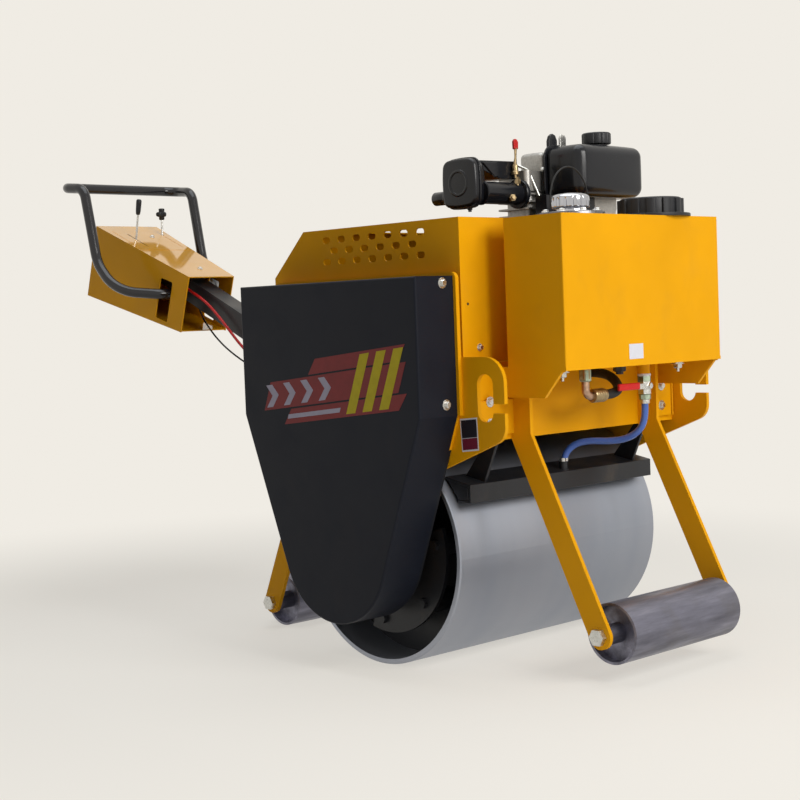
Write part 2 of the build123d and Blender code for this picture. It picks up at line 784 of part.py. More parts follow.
with BuildPart() as sprinkler_pipe:
    with BuildSketch(side):
        with Locations((pipe_x, pipe_z)):
            Circle(PIPE_R)
    extrude(amount=PIPE_HALF, both=True)
    with BuildSketch(side):
        with Locations((pipe_x, bar_top - BAR_T)):
            Rectangle(PIPE_R, bar_top - BAR_T - pipe_z, align=(Align.CENTER, Align.MAX))
    extrude(amount=PIPE_R, both=True)

# Travel motor on the left side plate
with BuildPart() as travel_motor:
    with BuildSketch(side.offset(-plate_out)):
        with Locations((0, DRUM_R)):
            Circle(MOTOR_FLANGE_R)
    extrude(amount=-MOTOR_FLANGE_T)
    with BuildSketch(side.offset(-plate_out)):
        with Locations((0, DRUM_R)):
            Circle(MOTOR_R)
    extrude(amount=-(cover_out - plate_out - MOTOR_CAP_T))
    with BuildSketch(side.offset(-cover_out)):
        with Locations((0, DRUM_R)):
            Circle(MOTOR_CAP_R)
    extrude(amount=MOTOR_CAP_T)
    with BuildSketch(side.offset(-(plate_out + MOTOR_FLANGE_T))):
        with Locations((0, DRUM_R)):
            Rectangle(PORT_SIZE, PORT_RISE, align=(Align.CENTER, Align.MIN))
    extrude(amount=-PORT_SIZE)
    with BuildSketch(plan.offset(DRUM_R + PORT_RISE)):
        with Locations((0, plate_out + MOTOR_FLANGE_T + PORT_SIZE / 2)):
            with GridLocations(PORT_SIZE / 2, 1, 2, 1):
                Circle(PORT_BORE_R / 2)
    extrude(amount=-PORT_BORE_R, mode=Mode.SUBTRACT)

# Handle bracket: base plate, two ears, the pivot pin and the stop under the arm
arm = Plane(at(-PIVOT_X, 0, PIVOT_Z), x_dir=(-cos(arm_angle), 0, sin(arm_angle)), z_dir=(0, 1, 0))
ear_in = ARM_W / 2 + EAR_GAP
bracket_back = -REAR_BEAM_X - LEG_FLANGE_T
with BuildPart() as handle_bracket:
    with BuildSketch(front.offset(-REAR_BEAM_X)):
        with Locations((0, (BRACKET_LOW + BRACKET_TOP) / 2)):
            Rectangle(BRACKET_W, BRACKET_TOP - BRACKET_LOW)
    extrude(amount=-LEG_FLANGE_T)
    for sign in (-1, 1):
        with BuildSketch(side.offset(sign * ear_in)):
            with Locations((-PIVOT_X, PIVOT_Z)):
                Circle(EAR_R)
            with Locations((bracket_back, (BRACKET_LOW + BRACKET_TOP) / 2)):
                Rectangle(EAR_T, BRACKET_TOP - BRACKET_LOW, align=(Align.MAX, Align.CENTER))
            make_hull()
        extrude(amount=sign * EAR_T)
    with BuildSketch(side):
        with Locations((-PIVOT_X, PIVOT_Z)):
            Circle(PIVOT_R)
    extrude(amount=ear_in + EAR_T, both=True)
    with BuildSketch(arm):
        with Locations((STOP_T, -ARM_H / 2 - RUNNING_GAP)):
            Rectangle(STOP_T, STOP_T, align=(Align.CENTER, Align.MAX))
    extrude(amount=ear_in, both=True)

# Arm: square tube up to the console, closed and rounded at its pivot end, with a saddle on top
panel = Plane(
    at(-CONSOLE_X, 0, CONSOLE_Z), x_dir=(-cos(slope), 0, sin(slope)), z_dir=(sin(slope), 0, cos(slope))
)
saddle_ends = [arm.to_local_coords(panel.from_local_coords(Vector(b, 0, -CONSOLE_T))).X for b in SADDLE]
with BuildPart() as arm_tube:
    with BuildSketch(arm):
        Rectangle(ARM_LENGTH, ARM_H, align=(Align.MIN, Align.CENTER))
        Circle(ARM_H / 2)
    extrude(amount=ARM_W / 2, both=True)
    with BuildSketch(arm):
        with Locations((ARM_H, 0)):
            Rectangle(ARM_LENGTH, ARM_H - 2 * ARM_T, align=(Align.MIN, Align.CENTER))
    extrude(amount=ARM_W / 2 - ARM_T, both=True, mode=Mode.SUBTRACT)
    with BuildSketch(arm):
        Circle(PIVOT_R + RUNNING_GAP)
    extrude(amount=ARM_W / 2, both=True, mode=Mode.SUBTRACT)
    with BuildSketch(arm):
        with BuildLine():
            Polyline(
                *[arm.to_local_coords(panel.from_local_coords(Vector(b, 0, -CONSOLE_T))) for b in SADDLE],
                (saddle_ends[1], ARM_H / 2),
                (saddle_ends[0], ARM_H / 2),
                close=True,
            )
        make_face()
    extrude(amount=SADDLE_HALF, both=True)

# Console: folded sheet box, wider at the rear, open at the front and below
console_depth = CONSOLE_LENGTH * cos(slope - lean)
leaning = Plane(at(-CONSOLE_X, 0, CONSOLE_Z), x_dir=(0, 1, 0), z_dir=(sin(lean), 0, cos(lean)))
with BuildPart() as console:
    with BuildSketch(side):
        with BuildLine():
            Polyline(
                front_top,
                rear_top,
                rear_low,
                front_top + down * CONSOLE_FRONT_H,
                close=True,
            )
        make_face()
    extrude(amount=CONSOLE_REAR_HALF, both=True)
    with BuildSketch(leaning):
        with BuildLine():
            Polyline(
                (-CONSOLE_FRONT_HALF, 0),
                (CONSOLE_FRONT_HALF, 0),
                (CONSOLE_REAR_HALF, console_depth),
                (-CONSOLE_REAR_HALF, console_depth),
                close=True,
            )
        make_face()
    extrude(amount=CONSOLE_LENGTH, both=True, mode=Mode.INTERSECT)
    offset(amount=-CONSOLE_T, openings=[faces().sort_by(Axis.X)[-1], faces().sort_by(Axis.Z)[0]])
    with BuildSketch(panel):
        for lever_y in (TRAVEL_LEVER_Y, THROTTLE_LEVER_Y):
            with Locations((LEVER_SLOT_BACK, -lever_y)):
                SlotOverall(LEVER_SLOT_L, LEVER_SLOT_W)
    extrude(amount=-2 * CONSOLE_T, mode=Mode.SUBTRACT)
    with BuildSketch(side):
        with Locations(front_top + down * GRIP_SLOT_DROP - Vector(GRIP_SLOT_BACK, 0)):
            RectangleRounded(GRIP_SLOT_W, GRIP_SLOT_H, 2 * CONSOLE_T, rotation=-CONSOLE_LEAN_DEG)
    extrude(amount=CONSOLE_REAR_HALF, both=True, mode=Mode.SUBTRACT)

# Handlebar: one bent tube, both ends butting on the arm inside the console
grip_half = ((-GRIP_REAR, GRIP_END_Y, GRIP_Z),) + GRIP_ROUTE
grip_root = (GRIP_ROUTE[-1][0], ARM_W / 2, GRIP_ROUTE[-1][2])
left_points = [at(*p) for p in grip_half] + [at(*grip_root)]
right_points = [Vector(p.X, -p.Y, p.Z) for p in reversed(left_points)]
with BuildPart() as handlebar:
    with BuildLine():
        grip_path = FilletPolyline(
            right_points + left_points, radius=GRIP_CORNERS[::-1] + GRIP_CORNERS
        )
    with BuildSketch(Plane(grip_path @ 0, z_dir=grip_path % 0)):
        Circle(GRIP_R)
    sweep(path=grip_path)


def lever_foot(back, y):
    """The plane at a lever's root, just under the console's top panel."""
    root = panel.from_local_coords(Vector(back, -y, -CONSOLE_T))
    tilt = radians(LEVER_LEAN_DEG)
    return Plane(root, x_dir=(cos(tilt), 0, -sin(tilt)), z_dir=(sin(tilt), 0, cos(tilt)))


def lever_plate(y):
    """The sliding plate that closes a slot from below, with its cable's block at the front."""
    with BuildPart() as plate:
        with BuildSketch(panel.offset(-CONSOLE_T)):
            with Locations((LEVER_SLOT_BACK, -y)):
                Rectangle(LEVER_SLOT_L + 2 * LEVER_PLATE_MARGIN, LEVER_PLATE_W)
        extrude(amount=-LEVER_PLATE_T)
        with BuildSketch(panel.offset(-CONSOLE_T - LEVER_PLATE_T)):
            with Locations((LEVER_SLOT_BACK - LEVER_SLOT_L / 2 - LEVER_PLATE_MARGIN, -y)):
                Rectangle(ANCHOR, ANCHOR, align=(Align.MIN, Align.CENTER))
        extrude(amount=-ANCHOR)
    return plate.part


travel_plate = lever_plate(TRAVEL_LEVER_Y)
throttle_plate = lever_plate(THROTTLE_LEVER_Y)
travel_foot = lever_foot(TRAVEL_LEVER_BACK, TRAVEL_LEVER_Y)
throttle_foot = lever_foot(THROTTLE_LEVER_BACK, THROTTLE_LEVER_Y)
with BuildPart() as travel_lever:
    add(travel_plate)
    with BuildSketch(travel_foot):
        Circle(LEVER_ROD_R)
    extrude(amount=LEVER_RISE)
    with BuildSketch(travel_foot.offset(LEVER_RISE - LEVER_GRIP_L)):
        Circle(LEVER_GRIP_R)
    extrude(amount=LEVER_GRIP_L)
    fillet(faces().sort_by(Axis.Z)[-1].edges(), LEVER_GRIP_R / 2)

with BuildPart() as throttle_lever:
    add(throttle_plate)
    with BuildSketch(throttle_foot):
        Circle(LEVER_ROD_R)
    extrude(amount=KNOB_RISE)
    with BuildSketch(throttle_foot.offset(KNOB_RISE - KNOB_T)):
        Circle(KNOB_R)
        with PolarLocations(KNOB_R, KNOB_LOBE_COUNT, start_angle=180 / KNOB_LOBE_COUNT):
            Circle(KNOB_R / 3, mode=Mode.SUBTRACT)
    extrude(amount=KNOB_T)

# Engine: crankcase, finned cylinder, rocker cover, fan housing
crank_z = ENGINE_FOOT_Z + CRANK_RISE
crankcase_front = CRANKCASE_BACK + CRANKCASE_L
crankcase_top = ENGINE_FOOT_Z + CRANKCASE_H
with BuildPart() as engine_mounts:
    with BuildSketch(plan.offset(DECK_Z + DECK_T)):
        with Locations((CYLINDER_X, CRANK_Y)):
            with GridLocations(2 * MOUNT_X, 2 * MOUNT_Y, 2, 2):
                Circle(MOUNT_R)
    extrude(amount=ENGINE_FOOT_Z - DECK_Z - DECK_T)

with BuildPart() as engine_block:
    with BuildSketch(front.offset(CRANKCASE_BACK)):
        with Locations((CRANK_Y, ENGINE_FOOT_Z + CRANKCASE_H / 2)):
            RectangleRounded(CRANKCASE_W, CRANKCASE_H, 2 * SUMP_FLANGE)
    extrude(amount=CRANKCASE_L)
    with BuildSketch(plan.offset(ENGINE_FOOT_Z)):
        with Locations((CRANKCASE_BACK, CRANK_Y)):
            Rectangle(CRANKCASE_L, CRANKCASE_W + 2 * SUMP_FLANGE, align=(Align.MIN, Align.CENTER))
    extrude(amount=SUMP_FLANGE)
    with BuildSketch(plan.offset(crankcase_top - 2 * SUMP_FLANGE)):
        with Locations((CYLINDER_X, CRANK_Y)):
            Rectangle(BARREL_L, BARREL_W)
    extrude(amount=2 * SUMP_FLANGE)
    with BuildSketch(front.offset(CRANKCASE_BACK)):
        with Locations((CRANK_Y, crank_z)):
            Circle(PTO_R)
    extrude(amount=-PTO_L)
    with BuildSketch(front.offset(CRANKCASE_BACK - PTO_L)):
        with Locations((CRANK_Y, crank_z)):
            Circle(SHAFT_R)
    extrude(amount=-SHAFT_L)

fin_pitch = (CYLINDER_TOP - crankcase_top) / FIN_COUNT
with BuildPart() as cylinder:
    with BuildSketch(plan.offset(crankcase_top)):
        with Locations((CYLINDER_X, CRANK_Y)):
            RectangleRounded(BARREL_L, BARREL_W, FIN_T * 4)
    extrude(amount=CYLINDER_TOP - crankcase_top)
    for i in range(FIN_COUNT):
        with BuildSketch(plan.offset(crankcase_top + (i + 0.5) * fin_pitch)):
            with Locations((CYLINDER_X, CRANK_Y)):
                RectangleRounded(FIN_L, FIN_W, FIN_T * 3)
        extrude(amount=FIN_T)
    with BuildSketch(plan.offset(CYLINDER_TOP)):
        with Locations((CYLINDER_X, CRANK_Y)):
            RectangleRounded(FIN_L - FIN_T, FIN_W - FIN_T, FIN_T * 3)
    extrude(amount=HEAD_TOP - CYLINDER_TOP)

with BuildPart() as rocker_cover:
    with BuildSketch(plan.offset(HEAD_TOP)):
        with Locations((CYLINDER_X, CRANK_Y)):
            RectangleRounded(ROCKER_L, ROCKER_W, ROCKER_R)
    extrude(amount=ROCKER_TOP - HEAD_TOP)
    fillet(faces().sort_by(Axis.Z)[-1].edges(), ROCKER_R / 2)

with BuildPart() as fan_housing:
    with BuildSketch(front.offset(crankcase_front)):
        with Locations((CRANK_Y, FAN_Z)):
            Circle(FAN_R)
    extrude(amount=FAN_DEPTH)
    fillet(faces().sort_by(Axis.X)[-1].edges(), FAN_EDGE)
    with BuildSketch(front.offset(crankcase_front)):
        with Locations((CRANK_Y, FAN_Z)):
            Rectangle(2 * SHROUD_HALF, FUEL_LOW - FAN_Z, align=(Align.CENTER, Align.MIN))
    extrude(amount=SHROUD_DEPTH)
    with BuildSketch(front.offset(crankcase_front + FAN_WALL)):
        with Locations((CRANK_Y, FAN_Z)):
            Circle(FAN_R - FAN_WALL)
    extrude(amount=FAN_DEPTH - 2 * FAN_WALL, mode=Mode.SUBTRACT)
    with BuildSketch(front.offset(crankcase_front + FAN_WALL)):
        with Locations((CRANK_Y, FAN_Z)):
            Rectangle(
                2 * (SHROUD_HALF - FAN_WALL),
                FUEL_LOW - FAN_WALL - FAN_Z,
                align=(Align.CENTER, Align.MIN),
            )
    extrude(amount=SHROUD_DEPTH - 2 * FAN_WALL, mode=Mode.SUBTRACT)
    with BuildSketch(front.offset(crankcase_front + FAN_DEPTH)):
        with Locations((CRANK_Y, FAN_Z)):
            with PolarLocations(FAN_SLOT_R, FAN_SLOT_COUNT):
                SlotOverall(FAN_SLOT_L, FAN_SLOT_W)
    extrude(amount=-2 * FAN_WALL, mode=Mode.SUBTRACT)

# Hydraulic pump on the engine's output shaft
pump_front = CRANKCASE_BACK - PTO_L - SHAFT_L
with BuildPart() as pump:
    with BuildSketch(front.offset(pump_front)):
        with Locations((CRANK_Y, crank_z)):
            Circle(PUMP_R)
    extrude(amount=-PUMP_L)
    with BuildSketch(front.offset(pump_front - PUMP_L / 2)):
        with Locations((CRANK_Y, DECK_Z + DECK_T)):
            Rectangle(PUMP_FOOT_W, crank_z - DECK_Z - DECK_T, align=(Align.CENTER, Align.MIN))
    extrude(amount=PUMP_FOOT_L / 2, both=True)


def rounded_tank(inset):
    """The fuel tank's body, drawn in on every side by the inset."""
    with BuildPart() as body:
        with BuildSketch(plan.offset(FUEL_LOW + inset)):
            with Locations(((FUEL_BACK + FUEL_FRONT) / 2, FUEL_Y)):
                RectangleRounded(FUEL_FRONT - FUEL_BACK - 2 * inset, 2 * (FUEL_HALF - inset), FUEL_R - inset)
        extrude(amount=FUEL_TOP - FUEL_LOW - 2 * inset)
        fillet(faces().sort_by(Axis.Z)[-1].edges(), FUEL_TOP_R - inset)
    return body.part


# Fuel tank: rounded box of two halves with a seam flange, and its cap
fuel_outside = rounded_tank(0)
fuel_inside = rounded_tank(FUEL_WALL)
with BuildPart() as fuel_tank:
    add(fuel_outside)
    add(fuel_inside, mode=Mode.SUBTRACT)
    with BuildSketch(plan.offset(FUEL_TOP)):
        with Locations((FUEL_CAP_X, FUEL_Y)):
            Circle(FUEL_CAP_R - 2 * FUEL_SEAM)
    extrude(amount=-2 * FUEL_WALL, mode=Mode.SUBTRACT)
    with BuildSketch(front.offset(FUEL_SEAM_X)):
        with Locations((FUEL_Y, (FUEL_LOW + FUEL_TOP) / 2)):
            RectangleRounded(
                2 * FUEL_HALF + 2 * FUEL_SEAM, FUEL_TOP - FUEL_LOW + 2 * FUEL_SEAM, FUEL_R / 2
            )
        with Locations((FUEL_Y, FUEL_LOW)):
            Rectangle(3 * FUEL_HALF, 2 * FUEL_SEAM, align=(Align.CENTER, Align.MAX), mode=Mode.SUBTRACT)
    extrude(amount=FUEL_SEAM_T)

with BuildPart() as fuel_cap:
    with BuildSketch(plan.offset(FUEL_TOP)):
        with Locations((FUEL_CAP_X, FUEL_Y)):
            Circle(FUEL_CAP_R - FUEL_SEAM)
    extrude(amount=FUEL_CAP_T / 3)
    with BuildSketch(plan.offset(FUEL_TOP + FUEL_CAP_T / 3)):
        with Locations((FUEL_CAP_X, FUEL_Y)):
            RegularPolygon(FUEL_CAP_R, FUEL_CAP_FLAT_COUNT)
    extrude(amount=FUEL_CAP_T * 2 / 3)

# Muffler: square can with an embossed end, flat body behind it, a stub tail pipe and its elbow
head_side = CRANK_Y - (FIN_W - FIN_T) / 2
with BuildPart() as muffler:
    with BuildSketch(side.offset(MUFFLER_OUT - MUFFLER_CAN)):
        with Locations((MUFFLER_X, MUFFLER_Z)):
            RectangleRounded(MUFFLER_W, MUFFLER_H, MUFFLER_CORNER)
    extrude(amount=MUFFLER_CAN)
    fillet(faces().sort_by(Axis.Y)[0].edges(), MUFFLER_EDGE)
    with BuildSketch(side.offset(MUFFLER_OUT - MUFFLER_CAN)):
        with Locations((MUFFLER_X, MUFFLER_Z)):
            RectangleRounded(MUFFLER_W + 2 * MUFFLER_RIM, MUFFLER_H + 2 * MUFFLER_RIM, MUFFLER_CORNER)
    extrude(amount=MUFFLER_RIM_W)
    with BuildSketch(side.offset(MUFFLER_OUT - MUFFLER_CAN)):
        with Locations((MUFFLER_X, MUFFLER_Z + MUFFLER_H / 2 - MUFFLER_BODY_H / 2)):
            RectangleRounded(MUFFLER_BODY_W, MUFFLER_BODY_H, MUFFLER_EDGE)
    extrude(amount=-MUFFLER_BODY)
    with BuildSketch(side.offset(MUFFLER_OUT)):
        with Locations((MUFFLER_X, MUFFLER_Z)):
            Circle(EMBOSS_R)
            Circle(EMBOSS_R - EMBOSS_W, mode=Mode.SUBTRACT)
    extrude(amount=EMBOSS_T)
    with BuildSketch(front.offset(MUFFLER_X - MUFFLER_W / 2)):
        with Locations((-TAIL_OUT, TAIL_Z)):
            Circle(TAIL_R)
    extrude(amount=-TAIL_L)
    with BuildSketch(front.offset(MUFFLER_X - MUFFLER_W / 2 - TAIL_L)):
        with Locations((-TAIL_OUT, TAIL_Z)):
            Circle(TAIL_BORE_R)
    extrude(amount=TAIL_L + 2 * MUFFLER_WALL, mode=Mode.SUBTRACT)
    with BuildSketch(side.offset(-head_side)):
        with Locations((MUFFLER_X, (CYLINDER_TOP + HEAD_TOP) / 2)):
            Rectangle(2 * EXHAUST_R, HEAD_TOP - CYLINDER_TOP - 2 * FIN_T)
    extrude(amount=2 * FIN_T)
    with BuildSketch(side.offset(2 * FIN_T - head_side)):
        with Locations((MUFFLER_X, EXHAUST_Z)):
            Circle(EXHAUST_R)
    extrude(amount=MUFFLER_OUT - MUFFLER_CAN + head_side - 2 * FIN_T)
    with BuildSketch(side.offset(MUFFLER_OUT - MUFFLER_CAN + MUFFLER_WALL)):
        with Locations((MUFFLER_X, MUFFLER_Z)):
            RectangleRounded(
                MUFFLER_W - 2 * MUFFLER_WALL, MUFFLER_H - 2 * MUFFLER_WALL, MUFFLER_CORNER - MUFFLER_WALL
            )
    extrude(amount=MUFFLER_CAN - 2 * MUFFLER_WALL, mode=Mode.SUBTRACT)

# Air cleaner: drum-shaped canister on a neck from the cylinder head
with BuildPart() as air_cleaner:
    with BuildSketch(plan.offset(CLEANER_LOW)):
        with Locations((CLEANER_X, CLEANER_Y)):
            Circle(CLEANER_R)
    extrude(amount=CLEANER_TOP - CLEANER_LOW)
    with BuildSketch(plan.offset(CLEANER_TOP - 2 * CLEANER_LID)):
        with Locations((CLEANER_X, CLEANER_Y)):
            Circle(CLEANER_R + CLEANER_LID)
    extrude(amount=CLEANER_LID)
    with BuildSketch(side.offset(-(CRANK_Y + (FIN_W - FIN_T) / 2))):
        with Locations((CLEANER_X, (CYLINDER_TOP + HEAD_TOP) / 2)):
            Circle(CLEANER_NECK_R)
    extrude(amount=-(CLEANER_Y - CRANK_Y - FIN_W / 2))
    with BuildSketch(plan.offset(CLEANER_LOW + CLEANER_WALL)):
        with Locations((CLEANER_X, CLEANER_Y)):
            Circle(CLEANER_R - CLEANER_WALL)
    extrude(amount=CLEANER_TOP - CLEANER_LOW - 2 * CLEANER_WALL, mode=Mode.SUBTRACT)
    with BuildSketch(side.offset(-(CRANK_Y + (FIN_W - FIN_T) / 2))):
        with Locations((CLEANER_X, (CYLINDER_TOP + HEAD_TOP) / 2)):
            Circle(CLEANER_NECK_R - CLEANER_WALL)
    extrude(amount=-(CLEANER_Y - CRANK_Y - FIN_W / 2), mode=Mode.SUBTRACT)


def corner_radii(points):
    """The largest arc that the two runs at each corner allow."""
    radii = []
    for before, here, after in zip(points, points[1:], points[2:]):
        turn = radians((here - before).get_angle(after - here))
        radii.append(0.45 * min((here - before).length, (after - here).length) / tan(turn / 2))
    return radii


def placed(route):
    """A route's points moved to where the drum's axle stands."""
    return [at(*point) for point in route]


def tube_along(points, radius):
    """A round tube of straight runs joined by tangent arcs."""
    radii = corner_radii(points)
    with BuildPart() as tube:
        with BuildLine():
            route = FilletPolyline(points, radius=radii)
        with BuildSketch(Plane(route @ 0, z_dir=route % 0)):
            Circle(radius)
        sweep(path=route)
    smallest = min(radii)
    print(f"radius {radius}: smallest bend {smallest:.0f}, length {route.length:.0f}")
    return tube


head_front = CYLINDER_X + (FIN_L - FIN_T) / 2
pipe_low = (INJECTOR_ROUTE[-1][0], INJECTOR_ROUTE[-1][1], crankcase_top)
injector_pipe = tube_along(
    placed(((head_front, *INJECTOR_ROUTE[0][1:]),) + INJECTOR_ROUTE + (pipe_low,)), INJECTOR_R
)

# Fittings under the tank shelf
shelf_low = TANK_LOW - SHELF_T
with BuildPart() as oil_elbow:
    with BuildSketch(plan.offset(shelf_low)):
        with Locations((ELBOW_X, ELBOW_Y)):
            RegularPolygon(ELBOW_NUT_R, 6)
    extrude(amount=-ELBOW_NUT_H)
    with BuildLine():
        bend = FilletPolyline(
            at(ELBOW_X, ELBOW_Y, shelf_low - ELBOW_NUT_H / 2),
            at(ELBOW_X, ELBOW_Y, ELBOW_Z),
            at(ELBOW_X, FERRULE_Y + FERRULE_L / 2, ELBOW_Z),
            radius=ELBOW_BEND_R,
        )
    with BuildSketch(Plane(bend @ 0, z_dir=bend % 0)):
        Circle(ELBOW_R)
    sweep(path=bend)
    with BuildSketch(side.offset(-FERRULE_Y)):
        with Locations((ELBOW_X, ELBOW_Z)):
            Circle(FERRULE_R)
    extrude(amount=-FERRULE_L)

with BuildPart() as ball_valve:
    with BuildSketch(plan.offset(shelf_low)):
        with Locations((VALVE_X, VALVE_Y)):
            Circle(VALVE_R)
    extrude(amount=-(shelf_low - VALVE_LOW))
    with BuildSketch(plan.offset(VALVE_BODY_Z - VALVE_NUT_H)):
        with Locations((VALVE_X, VALVE_Y)):
            RegularPolygon(VALVE_NUT_R, 6)
    extrude(amount=2 * VALVE_NUT_H)
    with BuildSketch(front.offset(VALVE_X)):
        with Locations((VALVE_Y, VALVE_BODY_Z)):
            Circle(TAP_STEM_R)
    extrude(amount=TAP_STEM_L)

with BuildPart() as tap_lever:
    with BuildSketch(front.offset(VALVE_X + TAP_STEM_L)):
        with Locations((VALVE_Y + TAP_LEVER_W / 2, VALVE_BODY_Z)):
            Rectangle(TAP_LEVER_L, TAP_LEVER_W, align=(Align.MAX, Align.CENTER))
    extrude(amount=TAP_LEVER_T)

oil_hose = tube_along(placed(OIL_HOSE_ROUTE), HOSE_R)
water_hose = tube_along(placed(WATER_HOSE_ROUTE), WATER_HOSE_R)


def cable_start(y):
    """Two points that lead a cable straight out of the block under a lever's plate."""
    back = LEVER_SLOT_BACK - LEVER_SLOT_L / 2 - LEVER_PLATE_MARGIN
    depth = CONSOLE_T + LEVER_PLATE_T + ANCHOR / 2
    return [panel.from_local_coords(Vector(b, -y, -depth)) for b in (back, back - CABLE_ROOT)]


def cable_end(along):
    """Two points that lead a cable square on to the arm's underside."""
    return [arm.from_local_coords(Vector(along, h - ARM_H / 2, 0)) for h in (-CABLE_ROOT, 0)]


red_cable = tube_along(
    cable_start(TRAVEL_LEVER_Y) + placed(RED_CABLE_ROUTE) + cable_end(RED_CABLE_END), RED_CABLE_R
)
thin_cable = tube_along(
    cable_start(THROTTLE_LEVER_Y) + placed(THIN_CABLE_ROUTE) + cable_end(THIN_CABLE_END),
    THIN_CABLE_R,
)

pieces = {
    "drum_shell": drum_shell,
    "drum_core": drum_core,
    "drum_carriers": drum_carriers,
    "drum_bearings": drum_bearings,
    "side_plates": side_plates,
    "cover_backplate": cover_backplate,
    "drive_cover": drive_cover,
    "front_beam": front_beam,
    "rear_beam": rear_beam,
    "engine_deck": engine_deck,
    "hood": hood,
    "tank_bracket": tank_bracket,
    "tank": tank,
    "breather_cap": breather_cap,
    "water_cap": water_cap,
    "front_legs": front_legs,
    "rear_legs": rear_legs,
    "roller_axles": roller_axles,
    "front_roller": front_roller,
    "rear_roller": rear_roller,
    "scraper_bar": scraper_bar,
    "sprinkler_pipe": sprinkler_pipe,
    "travel_motor": travel_motor,
    "handle_bracket": handle_bracket,
    "arm_tube": arm_tube,
    "console": console,
    "handlebar": handlebar,
    "travel_lever": travel_lever,
    "throttle_lever": throttle_lever,
    "engine_mounts": engine_mounts,
    "engine_block": engine_block,
    "cylinder": cylinder,
    "rocker_cover": rocker_cover,
    "fan_housing": fan_housing,
    "pump": pump,
    "fuel_tank": fuel_tank,
    "fuel_cap": fuel_cap,
    "muffler": muffler,
    "air_cleaner": air_cleaner,
    "injector_pipe": injector_pipe,
    "oil_elbow": oil_elbow,
    "ball_valve": ball_valve,
    "tap_lever": tap_lever,
    "oil_hose": oil_hose,
    "water_hose": water_hose,
    "red_cable": red_cable,
    "thin_cable": thin_cable,
}
for name, piece in pieces.items():
    piece.part.label = name
    export_step(piece.part, f"parts/{name}.step")
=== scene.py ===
"""Looks of a walk-behind road roller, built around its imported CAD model. Metres, row frame."""
import json
from math import cos, pi, radians, sin, sqrt, tan

import bmesh
import bpy
from mathutils import Matrix, Vector


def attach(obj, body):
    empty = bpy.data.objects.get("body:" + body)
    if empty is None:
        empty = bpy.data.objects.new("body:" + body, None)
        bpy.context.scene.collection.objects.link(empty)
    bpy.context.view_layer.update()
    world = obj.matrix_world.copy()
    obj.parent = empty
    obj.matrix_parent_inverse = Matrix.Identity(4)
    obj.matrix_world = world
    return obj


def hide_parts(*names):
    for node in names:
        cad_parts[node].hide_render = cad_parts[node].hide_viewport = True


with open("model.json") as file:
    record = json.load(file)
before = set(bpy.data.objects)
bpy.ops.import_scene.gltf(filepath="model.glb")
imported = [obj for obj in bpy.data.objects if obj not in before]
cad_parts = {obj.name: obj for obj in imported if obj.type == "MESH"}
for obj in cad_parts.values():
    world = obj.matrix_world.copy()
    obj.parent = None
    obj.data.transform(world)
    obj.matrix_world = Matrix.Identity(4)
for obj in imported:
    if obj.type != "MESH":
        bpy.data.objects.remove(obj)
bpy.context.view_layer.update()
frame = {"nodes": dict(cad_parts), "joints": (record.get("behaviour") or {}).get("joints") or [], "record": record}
nodes = frame["nodes"]
joints = {j["name"]: j for j in frame["joints"]}
drum_x = joints["drum_spin"]["pos_m"][0]
scene = bpy.context.scene
scene.view_settings.view_transform = "Standard"


def at(x, y, z):
    """A place in millimetres from the drum's axle, in the row frame's metres."""
    return Vector((drum_x + x / 1000, y / 1000, z / 1000))


# Camera, fitted to the machine's straight edges; the focal length is in pixels of the picture's side
FOCAL, PICTURE_SIDE, SENSOR = 1561.485, 800, 36
CAMERA_PLACE = (2655.4, -2798.8, 807.5)
az, el, roll = radians(46.3286), radians(3.0605), radians(-2.182)
back = Vector((sin(az) * cos(el), -cos(az) * cos(el), sin(el)))
right = (-back).cross(Vector((0, 0, 1))).normalized()
up = right.cross(-back).normalized()
rolled_right = cos(roll) * right + sin(roll) * up
rolled_up = -sin(roll) * right + cos(roll) * up
cam_data = bpy.data.cameras.new("camera")
cam_data.sensor_width = SENSOR
cam_data.lens = FOCAL / PICTURE_SIDE * SENSOR
cam = bpy.data.objects.new("camera", cam_data)
scene.collection.objects.link(cam)
rot = Matrix((rolled_right, rolled_up, back)).transposed().to_4x4()
cam.matrix_world = Matrix.Translation(at(*CAMERA_PLACE)) @ rot
scene.camera = cam


